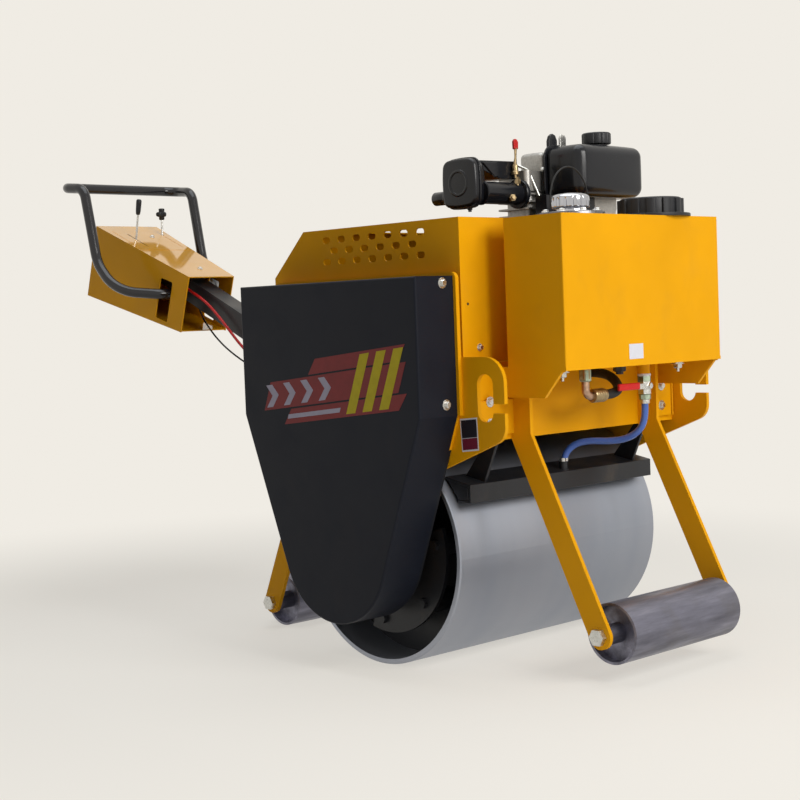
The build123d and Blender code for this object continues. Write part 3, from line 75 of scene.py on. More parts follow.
# Materials
class Mat:
    """A small helper that writes one node-based material."""

    def __init__(self, name, color, rough=0.5, metallic=0.0, coat=0.0, coat_rough=0.1, spec=0.5):
        self.m = bpy.data.materials.new(name)
        self.m.use_nodes = True
        self.t = self.m.node_tree
        self.b = self.t.nodes["Principled BSDF"]
        self.b.inputs["Base Color"].default_value = (*color, 1)
        self.b.inputs["Roughness"].default_value = rough
        self.b.inputs["Metallic"].default_value = metallic
        self.b.inputs["Coat Weight"].default_value = coat
        self.b.inputs["Coat Roughness"].default_value = coat_rough
        self.b.inputs["Specular IOR Level"].default_value = spec
        self.coord = self.t.nodes.new("ShaderNodeTexCoord")

    def n(self, kind, **inputs):
        node = self.t.nodes.new("ShaderNode" + kind)
        for key, value in inputs.items():
            name = key.replace("_", " ")
            if name in node.inputs:
                node.inputs[name].default_value = value
            else:
                setattr(node, key, value)
        return node

    def link(self, a, out, b, inp):
        self.t.links.new(a.outputs[out], b.inputs[inp])

    def noise(self, scale, detail=4, stretch=(1, 1, 1), rough=0.5):
        mapping = self.n("Mapping")
        mapping.inputs["Scale"].default_value = stretch
        self.link(self.coord, "Object", mapping, "Vector")
        tex = self.n("TexNoise", Scale=scale, Detail=detail, Roughness=rough)
        self.link(mapping, "Vector", tex, "Vector")
        return tex

    def ramp(self, source, out, stops):
        ramp = self.n("ValToRGB")
        elements = ramp.color_ramp.elements
        while len(elements) < len(stops):
            elements.new(0.5)
        for element, (position, color) in zip(elements, stops):
            element.position = position
            element.color = (*color, 1)
        self.link(source, out, ramp, "Fac")
        return ramp

    def blend(self, first, second, mask):
        """Mixes two colour outputs by a mask and returns the mixing node."""
        mix = self.n("Mix", data_type="RGBA")
        self.link(mask, "Color", mix, "Factor")
        for source, socket in ((first, 6), (second, 7)):
            if isinstance(source, tuple):
                mix.inputs[socket].default_value = (*source, 1)
            else:
                self.t.links.new(source, mix.inputs[socket])
        return mix.outputs[2]

    def base(self, output):
        self.t.links.new(output, self.b.inputs["Base Color"])

    def bump(self, tex, strength, distance, out="Fac"):
        node = self.n("Bump", Strength=strength, Distance=distance)
        self.link(tex, out, node, "Height")
        self.link(node, "Normal", self.b, "Normal")


DUST = (0.16, 0.115, 0.07)
DRIED_DUST = (0.15, 0.14, 0.13)
WORN_PAINT = (0.09, 0.09, 0.095)
RUBBED_DRUM = (0.48, 0.50, 0.55)


def shade(c, k):
    return tuple(min(1.0, x * k) for x in c)


def painted(name, color, rough=0.45, coat=0.0, vary=0.06, peel=0.05, spec=0.12, grime=0.08, scuff=0.0):
    """Sprayed paint: slight colour drift, orange peel, uneven gloss, and dust lying in patches."""
    m = Mat(name, color, rough, 0.0, coat, 0.08, spec)
    tex = m.noise(5.0, 3)
    r = m.ramp(tex, "Fac", [(0.3, shade(color, 1 - vary)), (0.7, shade(color, 1 + vary * 0.6))])
    dust = m.noise(9.0, 8, (1, 1, 0.6), 0.62)
    mask = m.ramp(dust, "Fac", [(0.56, (0, 0, 0)), (0.78, (grime,) * 3)])
    out = m.blend(r.outputs["Color"], DUST, mask)
    if scuff:
        marks = m.noise(70.0, 9, (1, 1, 0.25), 0.7)
        worn = m.ramp(marks, "Fac", [(0.66, (0, 0, 0)), (0.72, (scuff,) * 3)])
        out = m.blend(out, WORN_PAINT, worn)
    m.base(out)
    fine = m.noise(420.0, 2)
    m.bump(fine, peel, 0.0006)
    gloss = m.noise(14.0, 4)
    g = m.ramp(gloss, "Fac", [(0.35, (rough * 0.85,) * 3), (0.7, (rough * 1.2,) * 3)])
    m.link(g, "Color", m.b, "Roughness")
    return m


def metal(name, color, rough=0.35, stretch=(1, 1, 1), scale=60.0, vary=0.15, bump=0.05):
    m = Mat(name, color, rough, 1.0)
    tex = m.noise(scale, 5, stretch)
    r = m.ramp(tex, "Fac", [(0.3, shade(color, 1 - vary)), (0.7, shade(color, 1 + vary))])
    m.link(r, "Color", m.b, "Base Color")
    g = m.ramp(tex, "Fac", [(0.3, (rough * 0.8,) * 3), (0.7, (rough * 1.25,) * 3)])
    m.link(g, "Color", m.b, "Roughness")
    m.bump(tex, bump, 0.0005)
    return m


def plain(name, color, rough=0.5, scale=300.0, bump=0.08, vary=0.1, metallic=0.0, coat=0.0, spec=0.3):
    m = Mat(name, color, rough, metallic, coat, spec=spec)
    tex = m.noise(scale, 3)
    r = m.ramp(tex, "Fac", [(0.3, shade(color, 1 - vary)), (0.7, shade(color, 1 + vary))])
    m.link(r, "Color", m.b, "Base Color")
    m.bump(tex, bump, 0.0004)
    return m


YELLOW = (0.80, 0.37, 0.002)
BLACK = (0.0135, 0.0145, 0.018)


def two_tone():
    """The back plate: yellow above the side plate's lower edge, black below it."""
    m = painted("backplate_paint", YELLOW)
    split = m.n("SeparateXYZ")
    m.link(m.coord, "Object", split, "Vector")
    low = m.ramp(split, "Z", [(0.5, (1, 1, 1)), (0.51, (0, 0, 0))])
    low.color_ramp.interpolation = "CONSTANT"
    first = m.b.inputs["Base Color"].links[0].from_socket
    m.base(m.blend(first, BLACK, low))
    return m


def polished_top():
    """The console: thick glossy lacquer on its upper face, thinner on its sides."""
    m = painted("console_paint", YELLOW, 0.4, spec=0.12, grime=0.05)
    m.b.inputs["Coat IOR"].default_value = 2.3
    m.b.inputs["Coat Roughness"].default_value = 0.06
    split = m.n("SeparateXYZ")
    m.link(m.coord, "Normal", split, "Vector")
    upper = m.ramp(split, "Z", [(0.75, (0.04,) * 3), (0.9, (1, 1, 1))])
    m.link(upper, "Color", m.b, "Coat Weight")
    return m


def rolled_steel():
    """The drum: turned steel with a fine lay round it and faint long bands."""
    m = Mat("drum_steel", (0.33, 0.36, 0.43), 0.5, 1.0)
    band = m.noise(3.0, 2, (0.6, 2.5, 0.6))
    r = m.ramp(band, "Fac", [(0.3, (0.29, 0.32, 0.385)), (0.7, (0.35, 0.37, 0.425))])
    lay = m.noise(40.0, 6, (0.4, 30, 0.4), 0.6)
    soft = m.ramp(lay, "Fac", [(0.35, (0, 0, 0)), (0.75, (0.22,) * 3)])
    m.base(m.blend(r.outputs["Color"], RUBBED_DRUM, soft))
    g = m.ramp(lay, "Fac", [(0.3, (0.42,) * 3), (0.7, (0.56,) * 3)])
    m.link(g, "Color", m.b, "Roughness")
    m.bump(lay, 0.04, 0.0004)
    return m


def scuffed_steel():
    """The support rollers: dark steel rubbed bright in streaks, with dried dust."""
    m = Mat("roller_steel", (0.15, 0.15, 0.19), 0.4, 0.9)
    rub = m.noise(42.0, 9, (1.0, 0.12, 1.0), 0.6)
    streaks = [(0.3, (0.12, 0.12, 0.15)), (0.52, (0.19, 0.19, 0.24)), (0.75, (0.30, 0.30, 0.375))]
    r = m.ramp(rub, "Fac", streaks)
    dust = m.noise(11.0, 7, (1, 0.7, 1), 0.6)
    mask = m.ramp(dust, "Fac", [(0.52, (0, 0, 0)), (0.75, (0.5,) * 3)])
    m.base(m.blend(r.outputs["Color"], DRIED_DUST, mask))
    g = m.ramp(rub, "Fac", [(0.3, (0.55,) * 3), (0.7, (0.3,) * 3)])
    m.link(g, "Color", m.b, "Roughness")
    m.bump(rub, 0.12, 0.0006)
    return m


looks = {
    "yellow_paint": painted("yellow_paint", YELLOW),
    "black_paint": painted("black_paint", BLACK, 0.38, spec=0.35, grime=0.25, scuff=0.35),
    "cover_paint": painted(
        "cover_paint", (0.0095, 0.0112, 0.018), 0.42, peel=0.12, spec=0.12, grime=0.02
    ),
    "drum_steel": rolled_steel(),
    "roller_steel": scuffed_steel(),
    "bright_steel": metal("bright_steel", (0.60, 0.60, 0.57), 0.32, scale=200.0),
    "engine_black": painted("engine_black", (0.010, 0.011, 0.0145), 0.24, 0.12, spec=0.28, grime=0.04),
    "cast_alloy": plain("cast_alloy", (0.40, 0.39, 0.37), 0.45, 260.0, 0.3, 0.15, 0.85),
    "black_plastic": plain("black_plastic", (0.016, 0.017, 0.020), 0.42, 500.0, 0.12),
    "rubber": plain("rubber", (0.012, 0.012, 0.012), 0.6, 300.0, 0.1),
    "handle_gloss": painted("handle_gloss", (0.008, 0.008, 0.0115), 0.22, 0.35, 0.1, 0.02, 0.35, 0.02),
    "chrome": metal("chrome", (0.50, 0.51, 0.55), 0.1, scale=80.0, vary=0.03, bump=0.01),
    "brass": metal("brass", (0.36, 0.27, 0.15), 0.38, scale=150.0),
    "blue_hose": plain("blue_hose", (0.060, 0.135, 0.46), 0.3, 200.0, 0.04, 0.06, coat=0.4),
    "red_sheath": plain("red_sheath", (0.55, 0.012, 0.012), 0.4, 300.0, 0.05),
}
extra = {
    "console_paint": (polished_top(), "yellow_paint"),
    "backplate_paint": (two_tone(), "yellow_paint"),
    "zinc": (metal("zinc", (0.66, 0.66, 0.64), 0.28, scale=240.0, vary=0.12), "bright_steel"),
    "dark_steel": (metal("dark_steel", (0.16, 0.16, 0.17), 0.3, scale=160.0), "bright_steel"),
    "green_zinc": (metal("green_zinc", (0.36, 0.43, 0.33), 0.38, scale=180.0, vary=0.2), "bright_steel"),
    "copper_tint": (metal("copper_tint", (0.44, 0.29, 0.20), 0.38, scale=90.0, vary=0.3), "brass"),
    "label_white": (plain("label_white", (0.68, 0.69, 0.76), 0.4, 900.0, 0.02, 0.03), "yellow_paint"),
    "label_black": (plain("label_black", (0.012, 0.010, 0.016), 0.4, 900.0, 0.02, 0.05), "yellow_paint"),
    "label_maroon": (plain("label_maroon", (0.15, 0.010, 0.030), 0.4, 900.0, 0.02, 0.05), "yellow_paint"),
    "decal_red": (plain("decal_red", (0.17, 0.012, 0.014), 0.45, 60.0, 0.02, 0.08), "cover_paint"),
    "decal_yellow": (plain("decal_yellow", (0.44, 0.36, 0.005), 0.45, 60.0, 0.02, 0.06), "cover_paint"),
    "decal_white": (plain("decal_white", (0.36, 0.34, 0.44), 0.45, 60.0, 0.02, 0.04), "cover_paint"),
}
looks.update({key: mat for key, (mat, _) in extra.items()})
looks = {key: mat.m for key, mat in looks.items()}
slots = {s["node"]: s["material_slot"] for s in frame["record"]["subparts"]}
dressed = {"console": "console_paint", "cover_backplate": "backplate_paint"}
for name, obj in nodes.items():
    obj.data.materials.clear()
    obj.data.materials.append(looks[dressed.get(name, slots[name])])


# Mesh forms
def two_sides(axis):
    axis = Vector(axis).normalized()
    other = Vector((0, 0, 1)) if abs(axis.z) < 0.9 else Vector((1, 0, 0))
    u = axis.cross(other).normalized()
    return axis, u, axis.cross(u)


class Form:
    """A mesh under construction, in millimetres from the drum's axle."""

    def __init__(self):
        self.bm = bmesh.new()

    def skin(self, rings, caps=True, loop=False):
        """Faces between closed rings of points; the ends are capped, or joined in a loop."""
        made = [[self.bm.verts.new(at(*p)) for p in ring] for ring in rings]
        pairs = list(zip(made, made[1:] + made[:1] if loop else made[1:]))
        for a, b in pairs:
            for i in range(len(a)):
                j = (i + 1) % len(a)
                self.bm.faces.new((a[i], a[j], b[j], b[i]))
        if caps and not loop:
            self.bm.faces.new(list(reversed(made[0])))
            self.bm.faces.new(made[-1])

    def lathe(self, origin, axis, profile, count=32, loop=False, radial=None, turn=0.0):
        """A turned form: (radius, height) pairs round an axis."""
        axis, u, v = two_sides(axis)
        origin = Vector(origin)
        rings = []
        for r, h in profile:
            ring = []
            for k in range(count):
                a = 2 * pi * k / count + turn
                rr = radial(r, h, a) if radial else r
                ring.append(origin + axis * h + (u * cos(a) + v * sin(a)) * rr)
            rings.append(ring)
        self.skin(rings, loop=loop)

    def bolt(self, place, axis, flats=13, head=5.5, washer=12, turn=0.2, stud=0):
        """A hexagon head with its chamfer, on a washer, with a stud's end where there is one."""
        r = flats / sqrt(3)
        self.lathe(place, axis, [(washer, -0.5), (washer, 1.2), (washer - 0.5, 1.7)], 28)
        self.lathe(place, axis, [(r, 1.6), (r, 1.6 + head * 0.82), (r * 0.84, 1.6 + head)], 6, turn=turn)
        if stud:
            self.lathe(place, axis, [(4, head), (4, head + stud), (3.2, head + stud + 0.8)], 16)

    def prism(self, outline, depth):
        """A closed outline of 3-D points pushed along a vector."""
        depth = Vector(depth)
        a = [Vector(p) for p in outline]
        self.skin([a, [p + depth for p in a]])

    def tube(self, points, r, count=12, ripple=0.0):
        """A round bar along points, its radius rippled for a weld's bead."""
        points = [Vector(p) for p in points]
        axis, u, v = two_sides(points[1] - points[0])
        rings = []
        for i, p in enumerate(points):
            before = points[max(i - 1, 0)]
            after = points[min(i + 1, len(points) - 1)]
            t = (after - before).normalized()
            u = (u - t * u.dot(t)).normalized()
            v = t.cross(u)
            rr = r * (1 + ripple * sin(i * 2.1))
            turns = [2 * pi * k / count for k in range(count)]
            rings.append([p + (u * cos(a) + v * sin(a)) * rr for a in turns])
        self.skin(rings)

    def bead(self, a, b, r=3.0):
        a, b = Vector(a), Vector(b)
        steps = max(4, int((b - a).length / 4))
        self.tube([a.lerp(b, k / steps) for k in range(steps + 1)], r, 8, 0.16)

    def block(self, centre, half, r, crown=(0, 0, 0), n=4, m=8):
        """A box with rounded edges whose faces swell by the crown."""
        size = 2 * n + m
        box = bmesh.new()
        bmesh.ops.create_cube(box, size=2)
        bmesh.ops.subdivide_edges(box, edges=box.edges[:], cuts=size - 1, use_grid_fill=True)
        for v in box.verts:
            inner, lean = [], []
            for axis in range(3):
                k = round((v.co[axis] + 1) / 2 * size)
                h = half[axis] - r
                if k < n:
                    inner.append(-h)
                    lean.append(-tan(radians(45 * (n - k) / n)))
                elif k > size - n:
                    inner.append(h)
                    lean.append(tan(radians(45 * (k - size + n) / n)))
                else:
                    inner.append(-h + 2 * h * (k - n) / m)
                    lean.append(0.0)
            p = Vector(inner) + Vector(lean).normalized() * r
            grow = Vector((0, 0, 0))
            for axis in range(3):
                e, g = (axis + 1) % 3, (axis + 2) % 3
                w = (1 - (p[e] / half[e]) ** 2) * (1 - (p[g] / half[g]) ** 2)
                grow[axis] = crown[axis] * lean[axis] * max(w, 0)
            v.co = at(*(p + grow + Vector(centre)))
        mesh = bpy.data.meshes.new("block")
        box.to_mesh(mesh)
        box.free()
        self.bm.from_mesh(mesh)
        bpy.data.meshes.remove(mesh)

    def done(self, name, look, body="chassis", node=None, bevel=0.0, angle=35):
        bmesh.ops.recalc_face_normals(self.bm, faces=self.bm.faces)
        mesh = bpy.data.meshes.new(name)
        self.bm.to_mesh(mesh)
        self.bm.free()
        mesh.materials.append(looks[look])
        mesh.shade_smooth()
        mesh.set_sharp_from_angle(angle=radians(angle))
        obj = bpy.data.objects.new(name, mesh)
        scene.collection.objects.link(obj)
        if bevel:
            mod = obj.modifiers.new("edges", "BEVEL")
            mod.width = bevel / 1000
            mod.segments = 3
            mod.limit_method = "ANGLE"
            mod.angle_limit = radians(30)
            mod.harden_normals = True
        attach(obj, body)
        if node:
            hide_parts(node)


def fillet_path(points, radii, steps=8):
    """Points along straight runs joined by arcs, one radius for each inner corner."""
    points = [Vector(p) for p in points]
    out = [points[0]]
    for a, p, b, r in zip(points, points[1:], points[2:], radii):
        u, v = (a - p).normalized(), (b - p).normalized()
        half = u.angle(v) / 2
        reach = r / tan(half)
        middle = p + (u + v).normalized() * (r / sin(half))
        start, end = p + u * reach, p + v * reach
        for k in range(steps + 1):
            q = start.lerp(end, k / steps)
            out.append(middle + (q - middle).normalized() * r)
    return out + [points[-1]]


def bowed(x0, x1, z0, z1, y, inset, corner, bow, n=5):
    """One ring of a can: a rounded rectangle whose sides swell."""
    cx, cz = (x0 + x1) / 2, (z0 + z1) / 2
    w, h = (x1 - x0) / 2 - inset, (z1 - z0) / 2 - inset
    c = max(corner - inset, 2)
    ring = []
    for q, (sx, sz) in enumerate(((1, 1), (-1, 1), (-1, -1), (1, -1))):
        for k in range(n + 1):
            a = pi / 2 * (q + k / n)
            ring.append((sx * (w - c) + c * cos(a), sz * (h - c) + c * sin(a)))
        nx, nz = ((-1, 1), (-1, -1), (1, -1), (1, 1))[q]
        last = ring[-1]
        following = (nx * (w - c) + c * cos(pi / 2 * (q + 1)), nz * (h - c) + c * sin(pi / 2 * (q + 1)))
        for k in range(1, 6):
            ring.append(tuple(last[i] + (following[i] - last[i]) * k / 6 for i in range(2)))
    return [
        (cx + x * (1 + bow / w * (1 - (z / h) ** 2)), y, cz + z * (1 + bow / h * (1 - (x / w) ** 2)))
        for x, z in ring
    ]


# Cords
def cord(name, body, route, radius, look, node):
    """A cord on its route's points, as one smooth spline."""
    curve = bpy.data.curves.new(name, "CURVE")
    curve.dimensions = "3D"
    curve.bevel_depth = radius
    curve.bevel_resolution = 5
    curve.use_fill_caps = True
    spline = curve.splines.new("NURBS")
    spline.points.add(len(route) - 1)
    for p, c in zip(spline.points, route):
        p.co = (*c, 1)
    spline.order_u = 3
    spline.use_endpoint_u = True
    spline.resolution_u = 10
    obj = bpy.data.objects.new(name, curve)
    scene.collection.objects.link(obj)
    curve.materials.append(looks[look])
    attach(obj, body)
    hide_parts(node)
    return obj


def way(points):
    return [at(*p) for p in points]


OIL_HOSE = way(
    [(443, -54, 615), (443, -22, 615), (437, 8, 624), (410, 30, 643), (366, 44, 660), (322, 44, 660)]
)
WATER_HOSE = way(
    [
        (443, 94, 586),
        (443, 94, 552),
        (430, 88, 522),
        (398, 78, 503),
        (358, 62, 498),
        (316, 44, 500),
        (282, 26, 492),
        (261, 12, 464),
        (261, 12, 430),
    ]
)
slope, arm = radians(22.4), radians(24.5)


def panel(run, y, rise):
    """Millimetres of a place over the console's sloping top panel."""
    return (
        -1060 - run * cos(slope) + rise * sin(slope),
        y,
        946 + run * sin(slope) + rise * cos(slope),
    )


def on_panel(run, y, depth):
    """A place under the console's sloping top panel."""
    return at(*panel(run, y, -depth))


def on_arm(along, rise):
    """A place in the arm's middle plane, by its distance from the pivot and above its centre line."""
    return at(-372 - along * cos(arm) + rise * sin(arm), 0, 561 + along * sin(arm) + rise * cos(arm))


def cable(y, middle, along):
    return (
        [on_panel(237, y, 15), on_panel(207, y, 15)]
        + way(middle)
        + [on_arm(along, -62.5), on_arm(along, -32.5)]
    )


RED = cable(
    -48,
    [
        (-1180, -50, 952),
        (-1108, -52, 910),
        (-1022, -52, 872),
        (-943, -50, 806),
        (-870, -46, 736),
        (-790, -36, 678),
        (-716, -20, 640),
        (-660, -6, 612),
    ],
    250,
)
THIN = cable(
    62,
    [
        (-1222, 54, 925),
        (-1198, 46, 866),
        (-1150, 30, 822),
        (-1096, 10, 794),
        (-1030, -14, 764),
        (-962, -28, 731),
        (-890, -32, 698),
        (-818, -26, 666),
        (-750, -12, 642),
    ],
    340,
)
for name, body, route, radius, look in (
    ("oil_hose", "chassis", OIL_HOSE, 0.011, "rubber"),
    ("water_hose", "chassis", WATER_HOSE, 0.008, "blue_hose"),
    ("red_cable", "handle", RED, 0.004, "red_sheath"),
    ("thin_cable", "handle", THIN, 0.0025, "rubber"),
):
    piece = cord(name + "_look", body, route, radius, look, name)
    bare = piece.copy()
    bare.data = piece.data.copy()
    bare.data.bevel_depth = 0
    scene.collection.objects.link(bare)
    bpy.context.view_layer.update()
    line = bpy.data.meshes.new_from_object(bare.evaluated_get(bpy.context.evaluated_depsgraph_get()))
    bpy.data.objects.remove(bare)

# Breather cap: chromed, with a fluted skirt under a smooth dome, on its bolted flange
CAP_X, OIL_Y, WATER_Y, TOP = 450, -158, 127, 1012
FLANGE_BOLTS, BOLT_RING, FIRST_BOLT_DEG = 8, 60, 22
WATER_RIBS, FIRST_RIB_DEG = 12, 8
f = Form()
f.lathe((CAP_X, OIL_Y, TOP + 8), (0, 0, 1), [(34, -1), (34, 9), (33, 10)], 48)


def flutes(r, h, a):
    if h > 23:
        return r
    return r - 3.2 * max(0.0, cos(14 * a)) ** 2


f.lathe(
    (CAP_X, OIL_Y, TOP + 16),
    (0, 0, 1),
    [(39, 0), (41.5, 2), (42, 5), (42, 16), (42, 20), (41.6, 23.5)]
    + [(40, 26.5), (36, 29.5), (28, 32), (16, 33.6), (5, 34)],
    112,
    radial=flutes,
)
f.done("breather_cap_look", "chrome", node="breather_cap", angle=50)
f = Form()
for k in range(FLANGE_BOLTS):
    a = radians(FIRST_BOLT_DEG + 360 / FLANGE_BOLTS * k)
    place = (CAP_X + BOLT_RING * cos(a), OIL_Y + BOLT_RING * sin(a), TOP + 7.5)
    f.bolt(place, (0, 0, 1), 11, 5, 8, a)
f.done("breather_bolts", "zinc")
f = Form()
f.lathe((CAP_X, OIL_Y, TOP), (0, 0, 1), [(74, 0), (74, 6.5), (73, 7.5), (30, 8)], 64)
f.done("breather_flange", "dark_steel", angle=50)

# Water cap: broad ribs round a low black lid
f = Form()
f.lathe((CAP_X, WATER_Y, TOP), (0, 0, 1), [(91, 0), (91, 6), (89.5, 7.5), (70, 8)], 72)
f.lathe(
    (CAP_X, WATER_Y, TOP + 7),
    (0, 0, 1),
    [(70, 0), (70, 34), (69, 36.5), (66, 38), (60, 38), (58.5, 36), (5, 36)],
    72,
)
rib_half = [(66, 12), (74, 10.5), (76, 4)]
hub = Vector((CAP_X, WATER_Y, TOP + 7))
for k in range(WATER_RIBS):
    a = radians(FIRST_RIB_DEG + 360 / WATER_RIBS * k)
    outward = Vector((cos(a), sin(a), 0))
    side = Vector((-sin(a), cos(a), 0))
    rib = [hub + outward * reach - side * half for reach, half in rib_half]
    rib += [hub + outward * reach + side * half for reach, half in reversed(rib_half)]
    f.prism(rib, (0, 0, 35))
f.done("water_cap_look", "black_plastic", node="water_cap", bevel=1.2)

# Fuel tank: a rounded body with a seam flange, a lifting eye and its stay, and the screw cap
f = Form()
f.block((263, 161, 1134), (57, 121, 60), 24, (4, 3, 3.5), 5, 8)
f.done("fuel_tank_look", "engine_black", node="fuel_tank", angle=60)
f = Form()
ring = bowed(34, 288, 1068, 1200, 0, 0, 28, 2)
f.prism([(212, p[0], p[2]) for p in ring], (4, 0, 0))
eye = [(52, 1186), (82, 1186), (82, 1212), (76, 1224), (66, 1228), (57, 1222), (52, 1210)]
f.prism([(206, y, z) for y, z in eye], (9, 0, 0))
f.done("fuel_tank_seam", "engine_black", bevel=1.2)
f = Form()
stay = [(84, 1192), (106, 1192), (106, 1216), (102, 1222), (88, 1224), (84, 1218)]
f.prism([(217, y, z) for y, z in stay], (5, 0, 3))
f.done("fuel_tank_stay", "zinc", bevel=1.0)
f = Form()
FUEL_CAP_X, FUEL_CAP_Y = 262, 171
f.lathe((FUEL_CAP_X, FUEL_CAP_Y, 1190), (0, 0, 1), [(25, 0), (25, 12)], 40)
f.lathe(
    (FUEL_CAP_X, FUEL_CAP_Y, 1201),
    (0, 0, 1),
    [(31, 0), (34.5, 1.5), (35, 4), (35, 24), (34, 26.5), (31.5, 28), (22, 28.4), (20, 27), (4, 27)],
    96,
    radial=lambda r, h, a: r - (1.6 * (max(0.0, cos(12 * a)) ** 6) if r > 33 else 0),
)
f.done("fuel_cap_look", "black_plastic", node="fuel_cap", angle=50)

# Muffler: a bowed can with a rolled rim and embossed end, its duct, pipes and brass unions
f = Form()
CAN_SIDES = (94, 193, 1056, 1161)
CAN_CORNER, CAN_BOW = 15, 4
PIPE_X, PIPE_Z = 174, 1086
face = [(-190, 7), (-189.4, 4), (-187.8, 1.8), (-185.5, 0.5), (-183, 0), (-175, 0)]
rim = [(-174.6, -2.4), (-172, -3.2), (-169.4, -2.4), (-169, 0)]
back_face = [(-160, 3.5), (-146, 10)]
f.skin([bowed(*CAN_SIDES, y, inset, CAN_CORNER, CAN_BOW) for y, inset in face + rim + back_face])
emboss = [(23, -0.4), (24.5, 1.6), (27.5, 2.6), (30.5, 1.6), (32, -0.4)]
f.lathe((143.5, -189.6, 1108.5), (0, -1, 0), emboss, 56, loop=True)
f.lathe((PIPE_X, -148, PIPE_Z), (0, 1, 0), [(26, 0), (26, 124), (34, 125), (35, 127), (35, 135)], 40)
f.lathe((PIPE_X, -150, PIPE_Z), (0, 1, 0), [(27, 0), (29, 2), (29, 5), (27, 7)], 40)
tail = [(20, 0), (20, 12), (19, 13.5), (16, 14), (16, 51), (15.4, 52), (13.4, 52), (13, 51), (13, 20)]
f.lathe((98, -165, 1080), (-1, 0, 0), tail, 36)
f.lathe((150, -160, 1052), (0, 0, -1), [(6, -4), (6, 4), (4, 5), (4, 9)], 16)
f.done("muffler_look", "engine_black", node="muffler", angle=40)
f = Form()
duct = [(-150, 1160), (-30, 1162), (-30, 1120), (-84, 1120), (-150, 1140)]
f.prism([(112, y, z) for y, z in duct], (66, 0, 0))
gusset = [(-146, 1156), (-96, 1158), (-92, 1124), (-104, 1122)]
f.prism([(178, y, z) for y, z in gusset], (4, 0, 0))
f.done("muffler_duct", "engine_black", bevel=4)
f = Form()
f.lathe((189, -36, 1100), (0, 0, 1), [(4, 0), (4, 12)], 16)
f.lathe((189, -36, 1108), (0, 0, 1), [(8, 0), (8, 9), (6.5, 11), (5, 11), (5, 16), (3, 17)], 6)
f.lathe((186, -60, 1074), (1, -0.6, 0), [(9, 0), (9, 22), (7.6, 24), (5.5, 24), (5.5, 29), (4, 30)], 6)
f.lathe((150, -17, 1130), (0, 0, 1), [(9, 0), (9, 12), (7, 14), (5, 14), (5, 20)], 6)
f.done("unions", "brass")
f = Form()
f.tube([(187, -40, 1122), (187, -40, 1154), (189, -40, 1170), (190, -40, 1192)], 3.6, 10, 0.3)
f.lathe((187, -40, 1130), (0, 0, 1), [(9, 0), (9, 6), (7, 8), (7, 20), (5, 24)], 20)
f.done("relief_lever", "brass")
f = Form()
grip = [(-47, 1188), (-33, 1188), (-32, 1204), (-37, 1211), (-44, 1212), (-48, 1206)]
f.prism([(186, y, z) for y, z in grip], (7, 0, 1))
f.done("relief_grip", "red_sheath", bevel=1.6)
f = Form()
corners = [(150, -17, 1146), (150, -17, 1163), (192, 0, 1141)]
corners += [(212, 26, 1059), (216, 30, 1000), (214, 30, 902)]
f.tube(fillet_path(corners, (7, 16, 60, 120)), 3.2)
f.done("injector_pipe_look", "bright_steel", node="injector_pipe")
f = Form()
loop = [(440, -149 + 64 * cos(radians(a)), 1046 + 74 * sin(radians(a))) for a in range(-22, 203, 9)]
f.tube(loop, 1.8, 10)
f.done("wire_loop", "rubber")

# An angled plate under the fuel tank
f = Form()
f.prism([(250, 96, 955), (250, 214, 955), (250, 252, 1050), (250, 252, 1076), (250, 96, 1076)], (4, 0, 0))
f.prism([(250, 96, 1072), (250, 252, 1072), (300, 252, 1072), (300, 96, 1072)], (0, 0, 4))
f.done("tank_cradle", "cast_alloy", bevel=1.2)

# Rocker cover: cast, with its flange and four screws
f = Form()
f.block((158, 84, 1160), (36, 36, 26), 11, (1, 1, 2), 4, 4)
f.prism([(116, 44, 1139), (200, 44, 1139), (200, 124, 1139), (116, 124, 1139)], (0, 0, 5))
f.done("rocker_cover_look", "cast_alloy", node="rocker_cover", angle=50)
f = Form()
for x in (122, 194):
    for y in (50, 118):
        f.bolt((x, y, 1143.5), (0, 0, 1), 8, 4, 6)
f.done("rocker_bolts", "zinc")

# Scraper bar: its top flange rises to the drum, and leaning brackets hang it from the beam
f = Form()
section = [(200, 446), (278, 430), (278, 389.4), (237, 389.4)]
section += [(237, 395.4), (272, 395.4), (272, 424), (200, 440)]
f.prism([(x, -325, z) for x, z in section], (0, 650, 0))
for y in (-270, 262):
    f.prism([(268, y, 428), (314, y, 528), (282, y, 528), (210, y, 441)], (0, 8, 0))
f.prism([(270, -325, 424), (270, -325, 396), (240, -325, 396), (206, -325, 440)], (0, 4, 0))
f.prism([(270, 321, 424), (270, 321, 396), (240, 321, 396), (206, 321, 440)], (0, 4, 0))
f.done("scraper_bar_look", "black_paint", node="scraper_bar", bevel=1.2)
f = Form()
f.lathe((261, 12, 430), (0, 0, 1), [(12, -2), (12, 4), (9.5, 5), (9.5, 22)], 24)
f.done("hose_tail", "black_plastic")
f = Form()
f.lathe((261, 12, 456), (0, 0, 1), [(8.6, -4), (9.6, -4), (9.6, 4), (8.6, 4)], 28, loop=True)
f.block((270, 12, 456), (3, 4, 4), 1)
f.done("hose_clips", "zinc")

